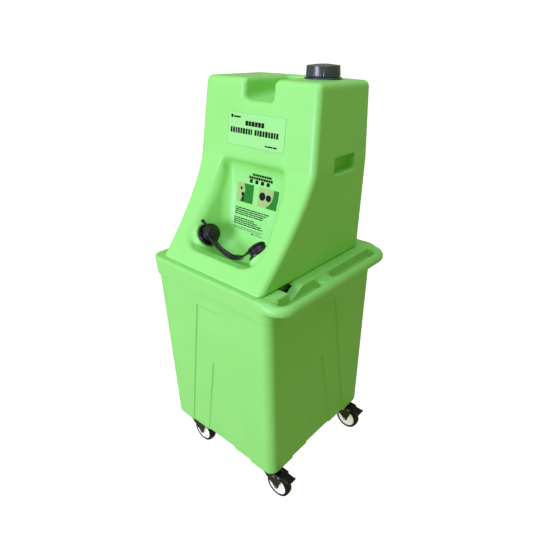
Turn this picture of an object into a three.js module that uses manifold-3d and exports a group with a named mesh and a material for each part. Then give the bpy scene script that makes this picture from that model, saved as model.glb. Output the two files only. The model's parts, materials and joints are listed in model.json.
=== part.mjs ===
// Portable gravity-fed eyewash station on a wheeled waste-water cart.
// Millimetres, +Z up, front faces -Y. Heights are measured from a datum FLOOR_DROP above the floor.
import * as THREE from 'three';
import Module from 'manifold-3d';
import { mergeVertices } from 'three/addons/utils/BufferGeometryUtils.js';

const wasm = await Module();
wasm.setup();

// ---- driving dimensions ----
const CART_X = -33;            // cart centre line; centres the bounding box with the handle on +X
const FLOOR_DROP = 17;         // the casters reach this far below the height datum
const GAP = 0.3;               // air between pieces that touch in the real object
const WALL = 6;                // moulded wall thickness of tank and tub

const CART_BASE_Z = 130;
const CREASE_Z = 884;
const TUB_TOP_Z = 924;
const DECK_Z = 968;
const TUB_BASE = { hx: 311, hy: 322 };
const TUB_CREASE = { hx: 316, hy: 336 };
const RIM = { hx: 324, hy: 348 };
const CART_CORNER_R = 42;
const DECK_T = 7;
const OPENING = { hx: 238, y0: -292, y1: 246, r: 40 };

const PANEL_TOP_Z = 826;       // recessed A-shaped panels on the four walls
const PANEL_APEX_Z = 560;
const PANEL_TOP_HALF = 64;
const PANEL_BASE_HALF = 188;
const PANEL_APEX_HALF = 4;
const PANEL_INNER_HALF = 86;
const PANEL_STEP = 6;
const PANEL_SLOPE = 9;

const HANDLE_R = 20;
const HANDLE_X = 372;
const HANDLE_Z = 945;
const HANDLE_BEND = 64;
const HANDLE_END_X = 268;
const HANDLE_Y = 326;
const SLOT_INNER_X = 314;
const BRIDGE = { y0: -66, y1: 2, x1: 366, z0: 932, z1: 958 };
const NOTCH_V = { top0: -227, bottom0: -214, bottom1: -205, top1: -150, z: 934 };

const TANK_Z0 = DECK_Z + GAP;
const TANK_Z1 = 1630;
const TANK_BASE_HX = 270;
const TANK_MID_HX = 293;
const TANK_TOP_HX = 277;
const TANK_MID_Z = 1350;
const TANK_TOP_FRONT_Y = -29.71;
const TANK_FACE_SLOPE = 0.145;
const TANK_FLARE = 204;
const TANK_FLARE_POWER = 1.45;
const TANK_BASE_BACK_Y = 283;
const TANK_MID_BACK_Y = 266;
const TANK_TOP_BACK_Y = 277;
const TANK_CORNER_R = 22;
const TANK_EDGE_R = 18;
const FLARE_STEPS = 8;

const CARRY = { x0: -62, x1: 76, floorZ: 1552, depth: 247, slope: 24 };
const POCKET = { y0: 48, y1: 178, z0: 1322, z1: 1382, depth: 46 };
const BOWL_BACK_Y = -60;
const BOWL_BACK_TILT = 0.104;
const BOWL_MID_Z = 1180;

const NOZZLE = { x: 150, y: -186, z: 1044, tiltX: 1.15, tiltY: 0.18, boreR: 12 };
const SEAT_R = 49.5;
const STRAP = { halfSpan: 88, y: -200, z: 1003, back: 10, rise: 28, w: 24, t: 5 };
const DRAIN = { x: 0, y: -168, boreR: 17, pipeR: 12, floorZ: 988 };

const FILLER = { x: 151, y: 152, boreR: 46, neckR: 50, flangeR: 69 };
const CAP = { r: 60, h: 42 };

const CASTER = { x: 240, y: 262, trail: 58, wheelR: 58, hubR: 45, width: 36, axleR: 6 };
const WHEEL_Z = CASTER.wheelR - FLOOR_DROP;
const CASTER_TOP_Z = CART_BASE_Z - GAP;
const PLATE_T = 4;
const RACE_BOTTOM_Z = 112;
const FORK_TOP_Z = RACE_BOTTOM_Z - GAP;
const FORK_T = 4;
const LEG_Y = 22;

const PEDAL = { x: 74, z: 104, pinR: 3 };

const PLUG = { x: 0, z: 178, bossR: 34, plugR: 22 };
const SCREW = { y: 262, z: 905, faceX: 321.8 };

// ---- solids ----
function toSolid(geometry) {
  const g = geometry.clone();
  g.deleteAttribute('normal');
  g.deleteAttribute('uv');
  const m = mergeVertices(g, 1e-4);
  const mesh = new wasm.Mesh({
    numProp: 3,
    vertProperties: new Float32Array(m.attributes.position.array),
    triVerts: new Uint32Array(m.index.array),
  });
  return new wasm.Manifold(mesh);
}

function toGeometry(solid) {
  const m = solid.getMesh();
  const g = new THREE.BufferGeometry();
  g.setAttribute('position', new THREE.BufferAttribute(new Float32Array(m.vertProperties), 3));
  g.setIndex(new THREE.BufferAttribute(new Uint32Array(m.triVerts), 1));
  g.computeVertexNormals();
  return g;
}

function signedVolume(g) {
  const p = g.attributes.position;
  const [a, b, c] = [0, 1, 2].map(() => new THREE.Vector3());
  let sum = 0;
  for (let i = 0; i < g.index.count; i += 3) {
    a.fromBufferAttribute(p, g.index.getX(i));
    b.fromBufferAttribute(p, g.index.getX(i + 1));
    c.fromBufferAttribute(p, g.index.getX(i + 2));
    sum += a.dot(b.cross(c));
  }
  return sum;
}

// Stack of closed loops with the same point count, capped at both ends.
function stack(loops) {
  const n = loops[0].length;
  const pos = [];
  const idx = [];
  for (const loop of loops) {
    for (const p of loop) {
      pos.push(p[0], p[1], p[2]);
    }
  }
  for (let k = 0; k + 1 < loops.length; k += 1) {
    for (let i = 0; i < n; i += 1) {
      const a = k * n + i;
      const b = k * n + ((i + 1) % n);
      idx.push(a, b, b + n, a, b + n, a + n);
    }
  }
  for (const end of [0, loops.length - 1]) {
    const loop = loops[end];
    const c = [0, 1, 2].map((j) => loop.reduce((s, p) => s + p[j], 0) / n);
    const ci = pos.length / 3;
    pos.push(...c);
    for (let i = 0; i < n; i += 1) {
      const a = end * n + i;
      const b = end * n + ((i + 1) % n);
      if (end === 0) {
        idx.push(ci, b, a);
      } else {
        idx.push(ci, a, b);
      }
    }
  }
  const g = new THREE.BufferGeometry();
  g.setAttribute('position', new THREE.BufferAttribute(new Float32Array(pos), 3));
  g.setIndex(idx);
  if (signedVolume(g) < 0) {
    idx.forEach((v, i) => {
      if (i % 3 === 1) {
        idx[i] = idx[i + 1];
        idx[i + 1] = v;
      }
    });
    g.setIndex(idx);
  }
  g.computeVertexNormals();
  return g;
}

// Rounded rectangle as [u, v] pairs, counter-clockwise.
function roundRect(u0, u1, v0, v1, r, steps = 5) {
  const out = [];
  const centres = [[u1 - r, v0 + r, -90], [u1 - r, v1 - r, 0], [u0 + r, v1 - r, 90], [u0 + r, v0 + r, 180]];
  for (const [cu, cv, start] of centres) {
    for (let i = 0; i <= steps; i += 1) {
      const a = THREE.MathUtils.degToRad(start + (90 * i) / steps);
      out.push([cu + r * Math.cos(a), cv + r * Math.sin(a)]);
    }
  }
  return out;
}

function levelLoop(z, x0, x1, y0, y1, r, steps) {
  return roundRect(x0, x1, y0, y1, r, steps).map(([x, y]) => [x, y, z]);
}

function box(x0, x1, y0, y1, z0, z1) {
  const g = new THREE.BoxGeometry(x1 - x0, y1 - y0, z1 - z0);
  g.translate((x0 + x1) / 2, (y0 + y1) / 2, (z0 + z1) / 2);
  return toSolid(g);
}

// Prism along X from a [y, z] outline.
function prismX(outline, x0, x1) {
  const shape = new THREE.Shape(outline.map(([y, z]) => new THREE.Vector2(y, z)));
  const g = new THREE.ExtrudeGeometry(shape, { depth: x1 - x0, bevelEnabled: false });
  g.rotateX(Math.PI / 2);
  g.rotateZ(Math.PI / 2);
  g.translate(x0, 0, 0);
  return toSolid(g);
}

// Prism along Y from an [x, z] outline.
function prismY(outline, y0, y1) {
  const shape = new THREE.Shape(outline.map(([x, z]) => new THREE.Vector2(x, z)));
  const g = new THREE.ExtrudeGeometry(shape, { depth: y1 - y0, bevelEnabled: false });
  g.rotateX(Math.PI / 2);
  g.translate(0, y1, 0);
  return toSolid(g);
}

// Body turned about Z from a closed [radius, z] outline.
function turned(outline, segments = 28) {
  const points = outline.map(([r, z]) => new THREE.Vector2(r, z));
  const g = new THREE.LatheGeometry(points, segments);
  g.rotateX(Math.PI / 2);
  return toSolid(g);
}

function cylinder(r, z0, z1, segments = 28) {
  return turned([[0, z0], [r, z0], [r, z1], [0, z1]], segments);
}

function ringOf(r0, r1, z0, z1, segments = 28) {
  return turned([[r0, z0], [r1, z0], [r1, z1], [r0, z1], [r0, z0]], segments);
}

function fuse(list) {
  return list.reduce((a, b) => a.add(b));
}

// Move a Z-axis body so that its axis points along dir from a point.
function placed(solid, point, dir) {
  const g = toGeometry(solid);
  const q = new THREE.Quaternion().setFromUnitVectors(new THREE.Vector3(0, 0, 1), dir);
  g.applyQuaternion(q);
  g.translate(...point);
  return toSolid(g);
}

function material(color, roughness, metalness = 0) {
  return new THREE.MeshStandardMaterial({ color, roughness, metalness });
}

const GREEN = 0x7ed36a;
const BLACK = 0x17181a;

const root = new THREE.Group();
root.name = 'eyewash_station';
const cart = new THREE.Group();
cart.name = 'on_cart_centre';
cart.position.set(CART_X, 0, FLOOR_DROP);
root.add(cart);

function addNode(name, solid, mat, parent = cart) {
  const g = solid.isBufferGeometry ? solid : toGeometry(solid);
  const mesh = new THREE.Mesh(g, mat);
  mesh.name = name;
  parent.add(mesh);
  return mesh;
}

// ---- cart tub: open-topped tapered tub with stepped A-shaped panels pressed into each wall ----
function lerp(a, b, t) {
  return a + (b - a) * t;
}

function panelDepth(z, onOuter, onInner) {
  const top = THREE.MathUtils.clamp((PANEL_TOP_Z - z) / PANEL_SLOPE, 0, 1);
  const apex = THREE.MathUtils.clamp((PANEL_APEX_Z - z) / PANEL_SLOPE, 0, 1);
  return PANEL_STEP * (onOuter * top + onInner * apex);
}

// Half-widths of the panel steps at height z, from the wall corner to the middle.
function panelColumns(z) {
  const t = THREE.MathUtils.clamp((PANEL_TOP_Z - z) / (PANEL_TOP_Z - CART_BASE_Z), 0, 1);
  const s = THREE.MathUtils.clamp((PANEL_APEX_Z - z) / (PANEL_APEX_Z - CART_BASE_Z), 0, 1);
  const outer = lerp(PANEL_TOP_HALF, PANEL_BASE_HALF, t);
  const inner = lerp(PANEL_APEX_HALF, PANEL_INNER_HALF, s);
  return [[outer + PANEL_SLOPE, 0, 0], [outer, 1, 0], [inner + PANEL_SLOPE, 1, 0], [inner, 1, 1]];
}

function tubLoop(z, inset, zShape = z) {
  const t = (z - CART_BASE_Z) / (CREASE_Z - CART_BASE_Z);
  const hx = lerp(TUB_BASE.hx, TUB_CREASE.hx, t) - inset;
  const hy = lerp(TUB_BASE.hy, TUB_CREASE.hy, t) - inset;
  const r = CART_CORNER_R - inset;
  const corner = roundRect(-hx, hx, -hy, hy, r, 5);
  const loop = [];
  const cols = panelColumns(zShape);
  const walk = cols.concat(cols.slice().reverse().map(([w, a, b]) => [-w, a, b]));
  const sides = [[1, 0], [0, 1], [-1, 0], [0, -1]];
  for (let k = 0; k < 4; k += 1) {
    for (let i = 0; i <= 5; i += 1) {
      const p = corner[k * 6 + i];
      loop.push([p[0], p[1], z]);
    }
    const [nx, ny] = sides[k];
    for (const [w, a, b] of walk) {
      const d = panelDepth(zShape, a, b);
      loop.push([nx * (hx - d) + ny * w, ny * (hy - d) - nx * w, z]);
    }
  }
  return loop;
}

function buildTub() {
  const loops = [];
  const rows = [PANEL_APEX_Z - PANEL_SLOPE, PANEL_APEX_Z, PANEL_TOP_Z - PANEL_SLOPE, PANEL_TOP_Z];
  loops.push(tubLoop(CART_BASE_Z, 10));
  loops.push(tubLoop(CART_BASE_Z + 3, 3, CART_BASE_Z));
  loops.push(tubLoop(CART_BASE_Z + 10, 0));
  for (const z of rows) {
    loops.push(tubLoop(z, 0));
  }
  loops.push(tubLoop(TUB_TOP_Z, 0));
  loops.push(tubLoop(TUB_TOP_Z, WALL));
  for (const z of rows.slice().reverse()) {
    loops.push(tubLoop(z, WALL));
  }
  loops.push(tubLoop(CART_BASE_Z + 16, WALL));
  loops.push(tubLoop(CART_BASE_Z + WALL, 16));
  let tub = toSolid(stack(loops));
  const bore = cylinder(PLUG.plugR + 0.4, -20, 20, 28);
  const out = new THREE.Vector3(0, 1, 0);
  tub = tub.subtract(placed(bore, [PLUG.x, plugFaceY(), PLUG.z], out));
  return drillScrews(tub);
}

function drillScrews(solid) {
  let out = solid;
  for (const side of [-1, 1]) {
    for (const y of [-SCREW.y, SCREW.y]) {
      const point = [side * SCREW.faceX, y, SCREW.z];
      out = out.subtract(placed(cylinder(2.5, -20, 4, 10), point, new THREE.Vector3(side, 0, 0)));
    }
  }
  return out;
}

function plugFaceY() {
  const t = (PLUG.z - CART_BASE_Z) / (CREASE_Z - CART_BASE_Z);
  return lerp(TUB_BASE.hy, TUB_CREASE.hy, t) - 2 * PANEL_STEP;
}

// ---- cart top: skirt, deck ledge, V notch and the push handle ----
function deckNotch(grow) {
  const { top0, bottom0, bottom1, top1, z } = NOTCH_V;
  const lift = DECK_Z + 20;
  const k0 = (bottom0 - top0) / (DECK_Z - z);
  const k1 = (top1 - bottom1) / (DECK_Z - z);
  const outline = [
    [bottom0 - grow, z - grow],
    [bottom1 + grow, z - grow],
    [bottom1 + grow + k1 * (lift - z), lift],
    [bottom0 - grow - k0 * (lift - z), lift],
  ];
  return prismX(outline, OPENING.hx - 30, RIM.hx + 4);
}

function handleSolid() {
  const yb = HANDLE_Y - HANDLE_BEND;
  const path = new THREE.CurvePath();
  const v = (x, y) => new THREE.Vector3(x, y, HANDLE_Z);
  const inX = HANDLE_X - HANDLE_BEND;
  const points = [];
  const bend = (cy, from, to) => {
    for (let i = 0; i <= 6; i += 1) {
      const a = THREE.MathUtils.degToRad(lerp(from, to, i / 6));
      points.push(v(inX + HANDLE_BEND * Math.cos(a), cy + HANDLE_BEND * Math.sin(a)));
    }
  };
  points.push(v(HANDLE_END_X, -HANDLE_Y));
  bend(-yb, -90, 0);
  bend(yb, 0, 90);
  points.push(v(HANDLE_END_X, HANDLE_Y));
  for (let i = 0; i + 1 < points.length; i += 1) {
    path.add(new THREE.LineCurve3(points[i], points[i + 1]));
  }
  const rings = points.map((p, i) => {
    const before = points[Math.max(i - 1, 0)];
    const after = points[Math.min(i + 1, points.length - 1)];
    const t = after.clone().sub(before).normalize();
    const side = new THREE.Vector3(t.y, -t.x, 0);
    const ring = [];
    for (let k = 0; k < 14; k += 1) {
      const a = (2 * Math.PI * k) / 14;
      const q = p.clone().addScaledVector(side, HANDLE_R * Math.cos(a));
      ring.push([q.x, q.y, q.z + HANDLE_R * Math.sin(a)]);
    }
    return ring.reverse();
  });
  return toSolid(stack(rings));
}

function buildCartTop() {
  const rimLoop = (z, inset) => {
    const t = THREE.MathUtils.clamp((z - CREASE_Z) / (DECK_Z - CREASE_Z), 0, 1);
    const hx = lerp(RIM.hx - 3, RIM.hx, t) - inset;
    const hy = lerp(RIM.hy - 6, RIM.hy, t) - inset;
    return levelLoop(z, -hx, hx, -hy, hy, CART_CORNER_R + 2 - inset, 5);
  };
  const outer = toSolid(stack([
    rimLoop(CREASE_Z, 1.5), rimLoop(CREASE_Z + 3, 0), rimLoop(DECK_Z - 10, 0),
    rimLoop(DECK_Z - 3, 3), rimLoop(DECK_Z, 10),
  ]));
  const tubRoom = toSolid(stack([
    tubTopLoop(CREASE_Z - 5), tubTopLoop(TUB_TOP_Z + GAP),
  ]));
  const { hx, y0, y1, r } = OPENING;
  const opening = (grow, z0, z1) => toSolid(stack([
    levelLoop(z0, -hx - grow, hx + grow, y0 - grow, y1 + grow, r + grow, 4),
    levelLoop(z1, -hx - grow, hx + grow, y0 - grow, y1 + grow, r + grow, 4),
  ]));
  const channelOuter = toSolid(stack([
    rimLoop(TUB_TOP_Z - 4, 16), rimLoop(DECK_Z - DECK_T, 16),
  ]));
  const channel = channelOuter.subtract(opening(DECK_T, TUB_TOP_Z - 10, DECK_Z));
  let top = outer.subtract(tubRoom).subtract(channel);
  const sideCut = box(SLOT_INNER_X, RIM.hx + 10, -HANDLE_Y + 46, HANDLE_Y - 46, CREASE_Z - 10, DECK_Z + 10);
  const skirtKeep = box(0, SLOT_INNER_X + 6.6, -RIM.hy, RIM.hy, CREASE_Z - 10, TUB_TOP_Z + 4);
  top = top.subtract(sideCut.subtract(skirtKeep));
  const bridge = prismX([
    [BRIDGE.y0 + 10, BRIDGE.z0], [BRIDGE.y1 - 6, BRIDGE.z0], [BRIDGE.y1, BRIDGE.z1 - 8],
    [BRIDGE.y1 - 8, BRIDGE.z1], [BRIDGE.y0 + 16, BRIDGE.z1], [BRIDGE.y0, BRIDGE.z1 - 12],
  ], SLOT_INNER_X - 4, BRIDGE.x1);
  top = fuse([top, bridge, handleSolid().subtract(tubRoom)]);
  top = top.subtract(opening(0, CREASE_Z - 20, DECK_Z + 20)).subtract(deckNotch(0));
  return drillScrews(top);
}

function tubTopLoop(z) {
  const t = (z - CART_BASE_Z) / (CREASE_Z - CART_BASE_Z);
  const hx = lerp(TUB_BASE.hx, TUB_CREASE.hx, t) + GAP;
  const hy = lerp(TUB_BASE.hy, TUB_CREASE.hy, t) + GAP;
  return levelLoop(z, -hx, hx, -hy, hy, CART_CORNER_R + GAP, 5);
}

// ---- tank ----
function tankFront(z) {
  const u = THREE.MathUtils.clamp((TANK_MID_Z - z) / (TANK_MID_Z - TANK_Z0), 0, 1);
  return TANK_TOP_FRONT_Y - TANK_FACE_SLOPE * (TANK_Z1 - z) - TANK_FLARE * u ** TANK_FLARE_POWER;
}

function tankLoop(z, inset) {
  const low = z < TANK_MID_Z;
  const s = low ? (z - TANK_Z0) / (TANK_MID_Z - TANK_Z0) : (z - TANK_MID_Z) / (TANK_Z1 - TANK_MID_Z);
  const hx = low ? lerp(TANK_BASE_HX, TANK_MID_HX, s) : lerp(TANK_MID_HX, TANK_TOP_HX, s);
  const yb = low ? lerp(TANK_BASE_BACK_Y, TANK_MID_BACK_Y, s) : lerp(TANK_MID_BACK_Y, TANK_TOP_BACK_Y, s);
  const r = TANK_CORNER_R - Math.min(inset, 12);
  return levelLoop(z, -hx + inset, hx - inset, tankFront(z) + inset, yb - inset, r, 3);
}

function tankBody(inset) {
  const loops = [];
  const z0 = TANK_Z0 + inset;
  const z1 = TANK_Z1 - inset;
  const e = TANK_EDGE_R - inset * 0.6;
  loops.push(tankLoop(z0, inset + e * 0.8));
  loops.push(tankLoop(z0 + e * 0.3, inset + e * 0.3));
  loops.push(tankLoop(z0 + e, inset));
  for (let i = 1; i <= FLARE_STEPS; i += 1) {
    loops.push(tankLoop(lerp(z0 + e, TANK_MID_Z, i / FLARE_STEPS), inset));
  }
  loops.push(tankLoop(z1 - e, inset));
  loops.push(tankLoop(z1 - e * 0.3, inset + e * 0.3));
  loops.push(tankLoop(z1, inset + e));
  return toSolid(stack(loops));
}

// Eyewash bowl: funnel with wide lower corners, running back from the sloping face to a flat back wall.
function bowlSolid(grow) {
  const corner = (cu, cv, r, start) => {
    const out = [];
    for (let i = 0; i <= 4; i += 1) {
      const a = THREE.MathUtils.degToRad(start + (90 * i) / 4);
      out.push([cu + r * Math.cos(a), cv + r * Math.sin(a)]);
    }
    return out;
  };
  const ring = (y, half, low, high, rLow, tilt) => {
    const hx = half + grow;
    const z0 = low - grow;
    const z1 = high + grow;
    const rTop = 34 + grow;
    const r = rLow + grow;
    const pts = [
      ...corner(hx - r, z0 + r, r, -90), ...corner(hx - rTop, z1 - rTop, rTop, 0),
      ...corner(rTop - hx, z1 - rTop, rTop, 90), ...corner(r - hx, z0 + r, r, 180),
    ];
    return pts.map(([x, z]) => [x, y + tilt * (z - BOWL_MID_Z), z]);
  };
  const back = BOWL_BACK_Y + grow;
  return toSolid(stack([
    ring(-400, 216, 1030, 1420, 60, 0),
    ring(-284, 198, 1026, 1398, 70, 0),
    ring(-256, 194, 1000, 1394, 84, 0),
    ring(-226, 188, 990, 1388, 90, 0),
    ring(-150, 168, 988, 1372, 90, 0.02),
    ring(back - 34, 142, 998, 1356, 80, 0.06),
    ring(back - 8, 126, 1020, 1342, 60, BOWL_BACK_TILT),
    ring(back, 114, 1040, 1326, 46, BOWL_BACK_TILT),
  ]));
}

function carrySolid(grow) {
  const { x0, x1, floorZ, depth, slope } = CARRY;
  const front = tankFront(TANK_Z1) - 60;
  const back = tankFront(TANK_Z1) + depth + grow;
  const outline = [
    [front, floorZ - grow], [back - slope, floorZ - grow + slope],
    [back, floorZ + slope * 2], [back, TANK_Z1 + 30], [front, TANK_Z1 + 30],
  ];
  return prismX(outline, x0 - grow, x1 + grow);
}

function pocketSolid(side, grow) {
  const { y0, y1, z0, z1, depth } = POCKET;
  const mouth = 310;
  const floor = TANK_MID_HX - depth - grow;
  const ring = (x, inset) => roundRect(y0 - grow + inset, y1 + grow - inset, z0 - grow + inset, z1 + grow - inset, 10, 3)
    .map(([y, z]) => [x, y, z]);
  const solid = stack([ring(floor, 6), ring(floor + 6, 0), ring(mouth, -1)]);
  if (side < 0) {
    solid.rotateZ(Math.PI);
    const mid = y0 + y1;
    solid.translate(0, mid, 0);
  }
  return toSolid(solid);
}

function bowlBack(z) {
  return BOWL_BACK_Y + BOWL_BACK_TILT * (z - BOWL_MID_Z);
}

function nozzleDir(side) {
  return new THREE.Vector3(-side * NOZZLE.tiltX, NOZZLE.tiltY, 1).normalize();
}

function alongNozzle(side, solid, offset = 0) {
  const d = nozzleDir(side);
  const p = [side * NOZZLE.x + d.x * offset, NOZZLE.y + d.y * offset, NOZZLE.z + d.z * offset];
  return placed(solid, p, d);
}

function buildTank() {
  const room = bowlSolid(0);
  let shell = tankBody(0).subtract(room).subtract(carrySolid(0));
  let cavity = tankBody(WALL).subtract(bowlSolid(WALL)).subtract(carrySolid(WALL));
  for (const side of [-1, 1]) {
    shell = shell.subtract(pocketSolid(side, 0));
    cavity = cavity.subtract(pocketSolid(side, WALL));
    const boss = alongNozzle(side, turned([[0, -60], [60, -60], [53, -3], [50, 0], [0, 0]], 20));
    shell = shell.add(boss.intersect(tankBody(1))).subtract(alongNozzle(side, cylinder(SEAT_R, 0, 56, 24)));
    cavity = cavity.subtract(alongNozzle(side, cylinder(SEAT_R + WALL, -WALL, 56 + WALL, 24)));
  }
  cavity = cavity.subtract(cylinder(DRAIN.boreR + WALL, TANK_Z0 - 5, 1060).translate(DRAIN.x, DRAIN.y, 0));
  let tank = shell.subtract(cavity);
  tank = tank.subtract(cylinder(FILLER.boreR, TANK_Z1 - 30, TANK_Z1 + 30, 32).translate(FILLER.x, FILLER.y, 0));
  tank = tank.subtract(cylinder(DRAIN.boreR, TANK_Z0 - 20, 1060).translate(DRAIN.x, DRAIN.y, 0));
  const seat = cylinder(DRAIN.boreR + 7 + GAP, DRAIN.floorZ, DRAIN.floorZ + 40);
  tank = tank.subtract(seat.translate(DRAIN.x, DRAIN.y, 0));
  for (const side of [-1, 1]) {
    tank = tank.subtract(alongNozzle(side, cylinder(NOZZLE.boreR, -66, 10, 20)));
  }
  return tank;
}

// ---- fittings on the tank ----
function buildFillerNeck() {
  const z = TANK_Z1 + GAP;
  const { boreR, neckR, flangeR } = FILLER;
  const outer = boreR - GAP;
  return turned([
    [boreR - 5, z - 30], [outer, z - 30], [outer, z], [flangeR, z], [flangeR, z + 5], [flangeR - 3, z + 8],
    [neckR, z + 8], [neckR, z + 24], [boreR - 5, z + 24], [boreR - 5, z - 30],
  ], 28).translate(FILLER.x, FILLER.y, 0);
}

function buildFillerNut() {
  const z = TANK_Z1 - WALL - GAP;
  return ringOf(FILLER.boreR + 0.1, 60, z - 12, z, 28).translate(FILLER.x, FILLER.y, 0);
}

function buildCapSeal() {
  const z = TANK_Z1 + 24 + 2 * GAP;
  return ringOf(FILLER.boreR - 5, FILLER.neckR, z, z + 3, 28).translate(FILLER.x, FILLER.y, 0);
}

function buildFillCap() {
  const z = TANK_Z1 + 8 + 2 * GAP;
  const inner = FILLER.neckR + 0.8;
  const ceiling = TANK_Z1 + 27 + 3 * GAP;
  const body = turned([
    [0, ceiling], [inner, ceiling], [inner, z], [CAP.r, z], [CAP.r, z + CAP.h - 7],
    [CAP.r - 2, z + CAP.h - 5], [CAP.r / 2, z + CAP.h - 1.5], [0, z + CAP.h],
  ], 24);
  const lug = (k) => box(CAP.r - 6, CAP.r + 2, -9, 9, z, z + CAP.h - 8).rotate(0, 0, 45 * k);
  const lugs = Array.from({ length: 8 }, (_, k) => lug(k));
  return fuse([body, ...lugs]).translate(FILLER.x, FILLER.y, 0);
}

function buildNozzle(side) {
  const stem = NOZZLE.boreR - GAP;
  return alongNozzle(side, turned([
    [7, -22], [stem, -22], [stem, GAP], [47, GAP], [48, 5], [43, 9], [36, 11], [33, 32],
    [26, 35], [26, 20], [7, 20], [7, -22],
  ], 20));
}

function buildNozzleCap(side) {
  return alongNozzle(side, turned([
    [0, 36], [34, 36], [35.5, 40], [32, 47], [20, 50], [0, 51],
  ], 20));
}

function buildStrap() {
  const steps = 18;
  const path = [];
  for (let i = 0; i <= steps; i += 1) {
    const s = (2 * i) / steps - 1;
    path.push(new THREE.Vector3(s * STRAP.halfSpan, STRAP.y + STRAP.back * s * s, STRAP.z + STRAP.rise * s * s));
  }
  const up = new THREE.Vector3(0, -0.4, 0.92).normalize();
  const loops = path.map((p, i) => {
    const t = path[Math.min(i + 1, steps)].clone().sub(path[Math.max(i - 1, 0)]).normalize();
    const wide = new THREE.Vector3().crossVectors(up, t).normalize();
    const thick = new THREE.Vector3().crossVectors(t, wide);
    const corner = (a, b) => {
      const q = p.clone().addScaledVector(wide, (a * STRAP.w) / 2).addScaledVector(thick, (b * STRAP.t) / 2);
      return [q.x, q.y, q.z];
    };
    return [corner(-1, -1), corner(-1, 1), corner(1, 1), corner(1, -1)];
  });
  return stack(loops);
}

function buildStrainer() {
  const z = DRAIN.floorZ + GAP;
  const disc = cylinder(DRAIN.boreR + 7, z, z + 3, 24);
  const collar = cylinder(DRAIN.boreR - GAP, z - 8, z + 1, 24);
  let body = disc.add(collar);
  for (let k = 0; k < 6; k += 1) {
    const hole = cylinder(3.2, z - 20, z + 20, 8).translate(DRAIN.boreR * 0.6, 0, 0).rotate(0, 0, 60 * k);
    body = body.subtract(hole);
  }
  return body.translate(DRAIN.x, DRAIN.y, 0);
}

function buildDrainSpout() {
  const top = DRAIN.floorZ - 10;
  const low = TANK_Z0 - 62;
  return ringOf(DRAIN.pipeR, DRAIN.boreR - GAP, low, top, 24).translate(DRAIN.x, DRAIN.y, 0);
}

function plateOnFace(x0, x1, z0, z1, thick, faceY) {
  const w = x1 - x0;
  const outline = roundRect(0, w, 0, z1 - z0, 6, 3);
  const shape = new THREE.Shape(outline.map(([a, b]) => new THREE.Vector2(a, b)));
  const g = new THREE.ExtrudeGeometry(shape, { depth: thick, bevelEnabled: false });
  g.rotateX(Math.PI / 2);
  const rise = faceY(z1) - faceY(z0);
  g.rotateX(-Math.atan2(rise, z1 - z0));
  g.translate(x0, faceY(z0) - GAP, z0);
  return toSolid(g);
}

// ---- cart fittings ----
function buildScrew(x, side, z) {
  const face = side * SCREW.faceX;
  const shank = cylinder(2.2, -14, 1, 10);
  const head = turned([[0, 0], [6, 0], [6, 1.2], [3.5, 3.4], [0, 3.8]], 12);
  return placed(shank.add(head), [face + side * GAP, x, z], new THREE.Vector3(side, 0, 0));
}

function buildPlugBoss() {
  const face = plugFaceY();
  const outline = [
    [PLUG.plugR - 4, -16], [PLUG.plugR, -16], [PLUG.plugR, 1], [PLUG.bossR, 1], [PLUG.bossR, 7],
    [PLUG.plugR - 4, 7], [PLUG.plugR - 4, -16],
  ];
  return placed(turned(outline, 24), [PLUG.x, face, PLUG.z], new THREE.Vector3(0, 1, 0));
}

function buildPlugSeal() {
  const face = plugFaceY();
  const ring = ringOf(PLUG.plugR - 4, PLUG.plugR + 5, 7 + GAP, 9.5, 24);
  return placed(ring, [PLUG.x, face, PLUG.z], new THREE.Vector3(0, 1, 0));
}

function buildPlug() {
  const face = plugFaceY();
  const outline = [
    [0, -10], [PLUG.plugR - 4.4, -10], [PLUG.plugR - 4.4, 9.5 + GAP], [PLUG.plugR + 6, 9.5 + GAP],
    [PLUG.plugR + 6, 17], [PLUG.plugR + 2, 20], [0, 20],
  ];
  const grip = box(-PLUG.plugR + 2, PLUG.plugR - 2, -4, 4, 19, 30);
  return placed(turned(outline, 24).add(grip), [PLUG.x, face, PLUG.z], new THREE.Vector3(0, 1, 0));
}

// ---- casters: swivel forks trailing towards +X with a foot brake pedal each ----
function aboutY(solid, x, z) {
  return placed(solid, [x, 0, z], new THREE.Vector3(0, 1, 0));
}

function buildPlate() {
  const z = CASTER_TOP_Z;
  const loops = [z - PLATE_T, z].map((h) => levelLoop(h, -42, 42, -33, 33, 8, 3));
  return toSolid(stack(loops));
}

function buildRace() {
  const z = RACE_BOTTOM_Z;
  const top = CASTER_TOP_Z - PLATE_T - GAP;
  return turned([
    [0, z - 9], [6, z - 9], [6, z], [24, z], [31, z + 5], [27, top], [0, top],
  ], 16);
}

function buildFork() {
  const { trail, axleR } = CASTER;
  const z = FORK_TOP_Z;
  const leg = [
    [-44, z], [-44, z - 8], [trail - 22, WHEEL_Z + 16], [trail - 13, WHEEL_Z - 6], [trail - 6, WHEEL_Z - 13],
    [trail + 6, WHEEL_Z - 13], [trail + 13, WHEEL_Z - 6], [trail + 16, WHEEL_Z + 14], [84, z - 16], [84, z],
  ];
  const sideA = prismY(leg, LEG_Y, LEG_Y + FORK_T);
  const sideB = prismY(leg, -LEG_Y - FORK_T, -LEG_Y);
  const crown = box(-44, 44, -LEG_Y - 1, LEG_Y + 1, z - FORK_T, z);
  const web = box(-44, -40, -LEG_Y - 1, LEG_Y + 1, z - 8, z);
  let fork = fuse([sideA, sideB, crown, web]);
  fork = fork.subtract(cylinder(6 + GAP, z - 20, z + 20, 20));
  fork = fork.subtract(aboutY(cylinder(axleR + GAP, -40, 40, 16), trail, WHEEL_Z));
  return fork.subtract(aboutY(cylinder(PEDAL.pinR + GAP, -40, 40, 12), PEDAL.x, PEDAL.z));
}

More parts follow.
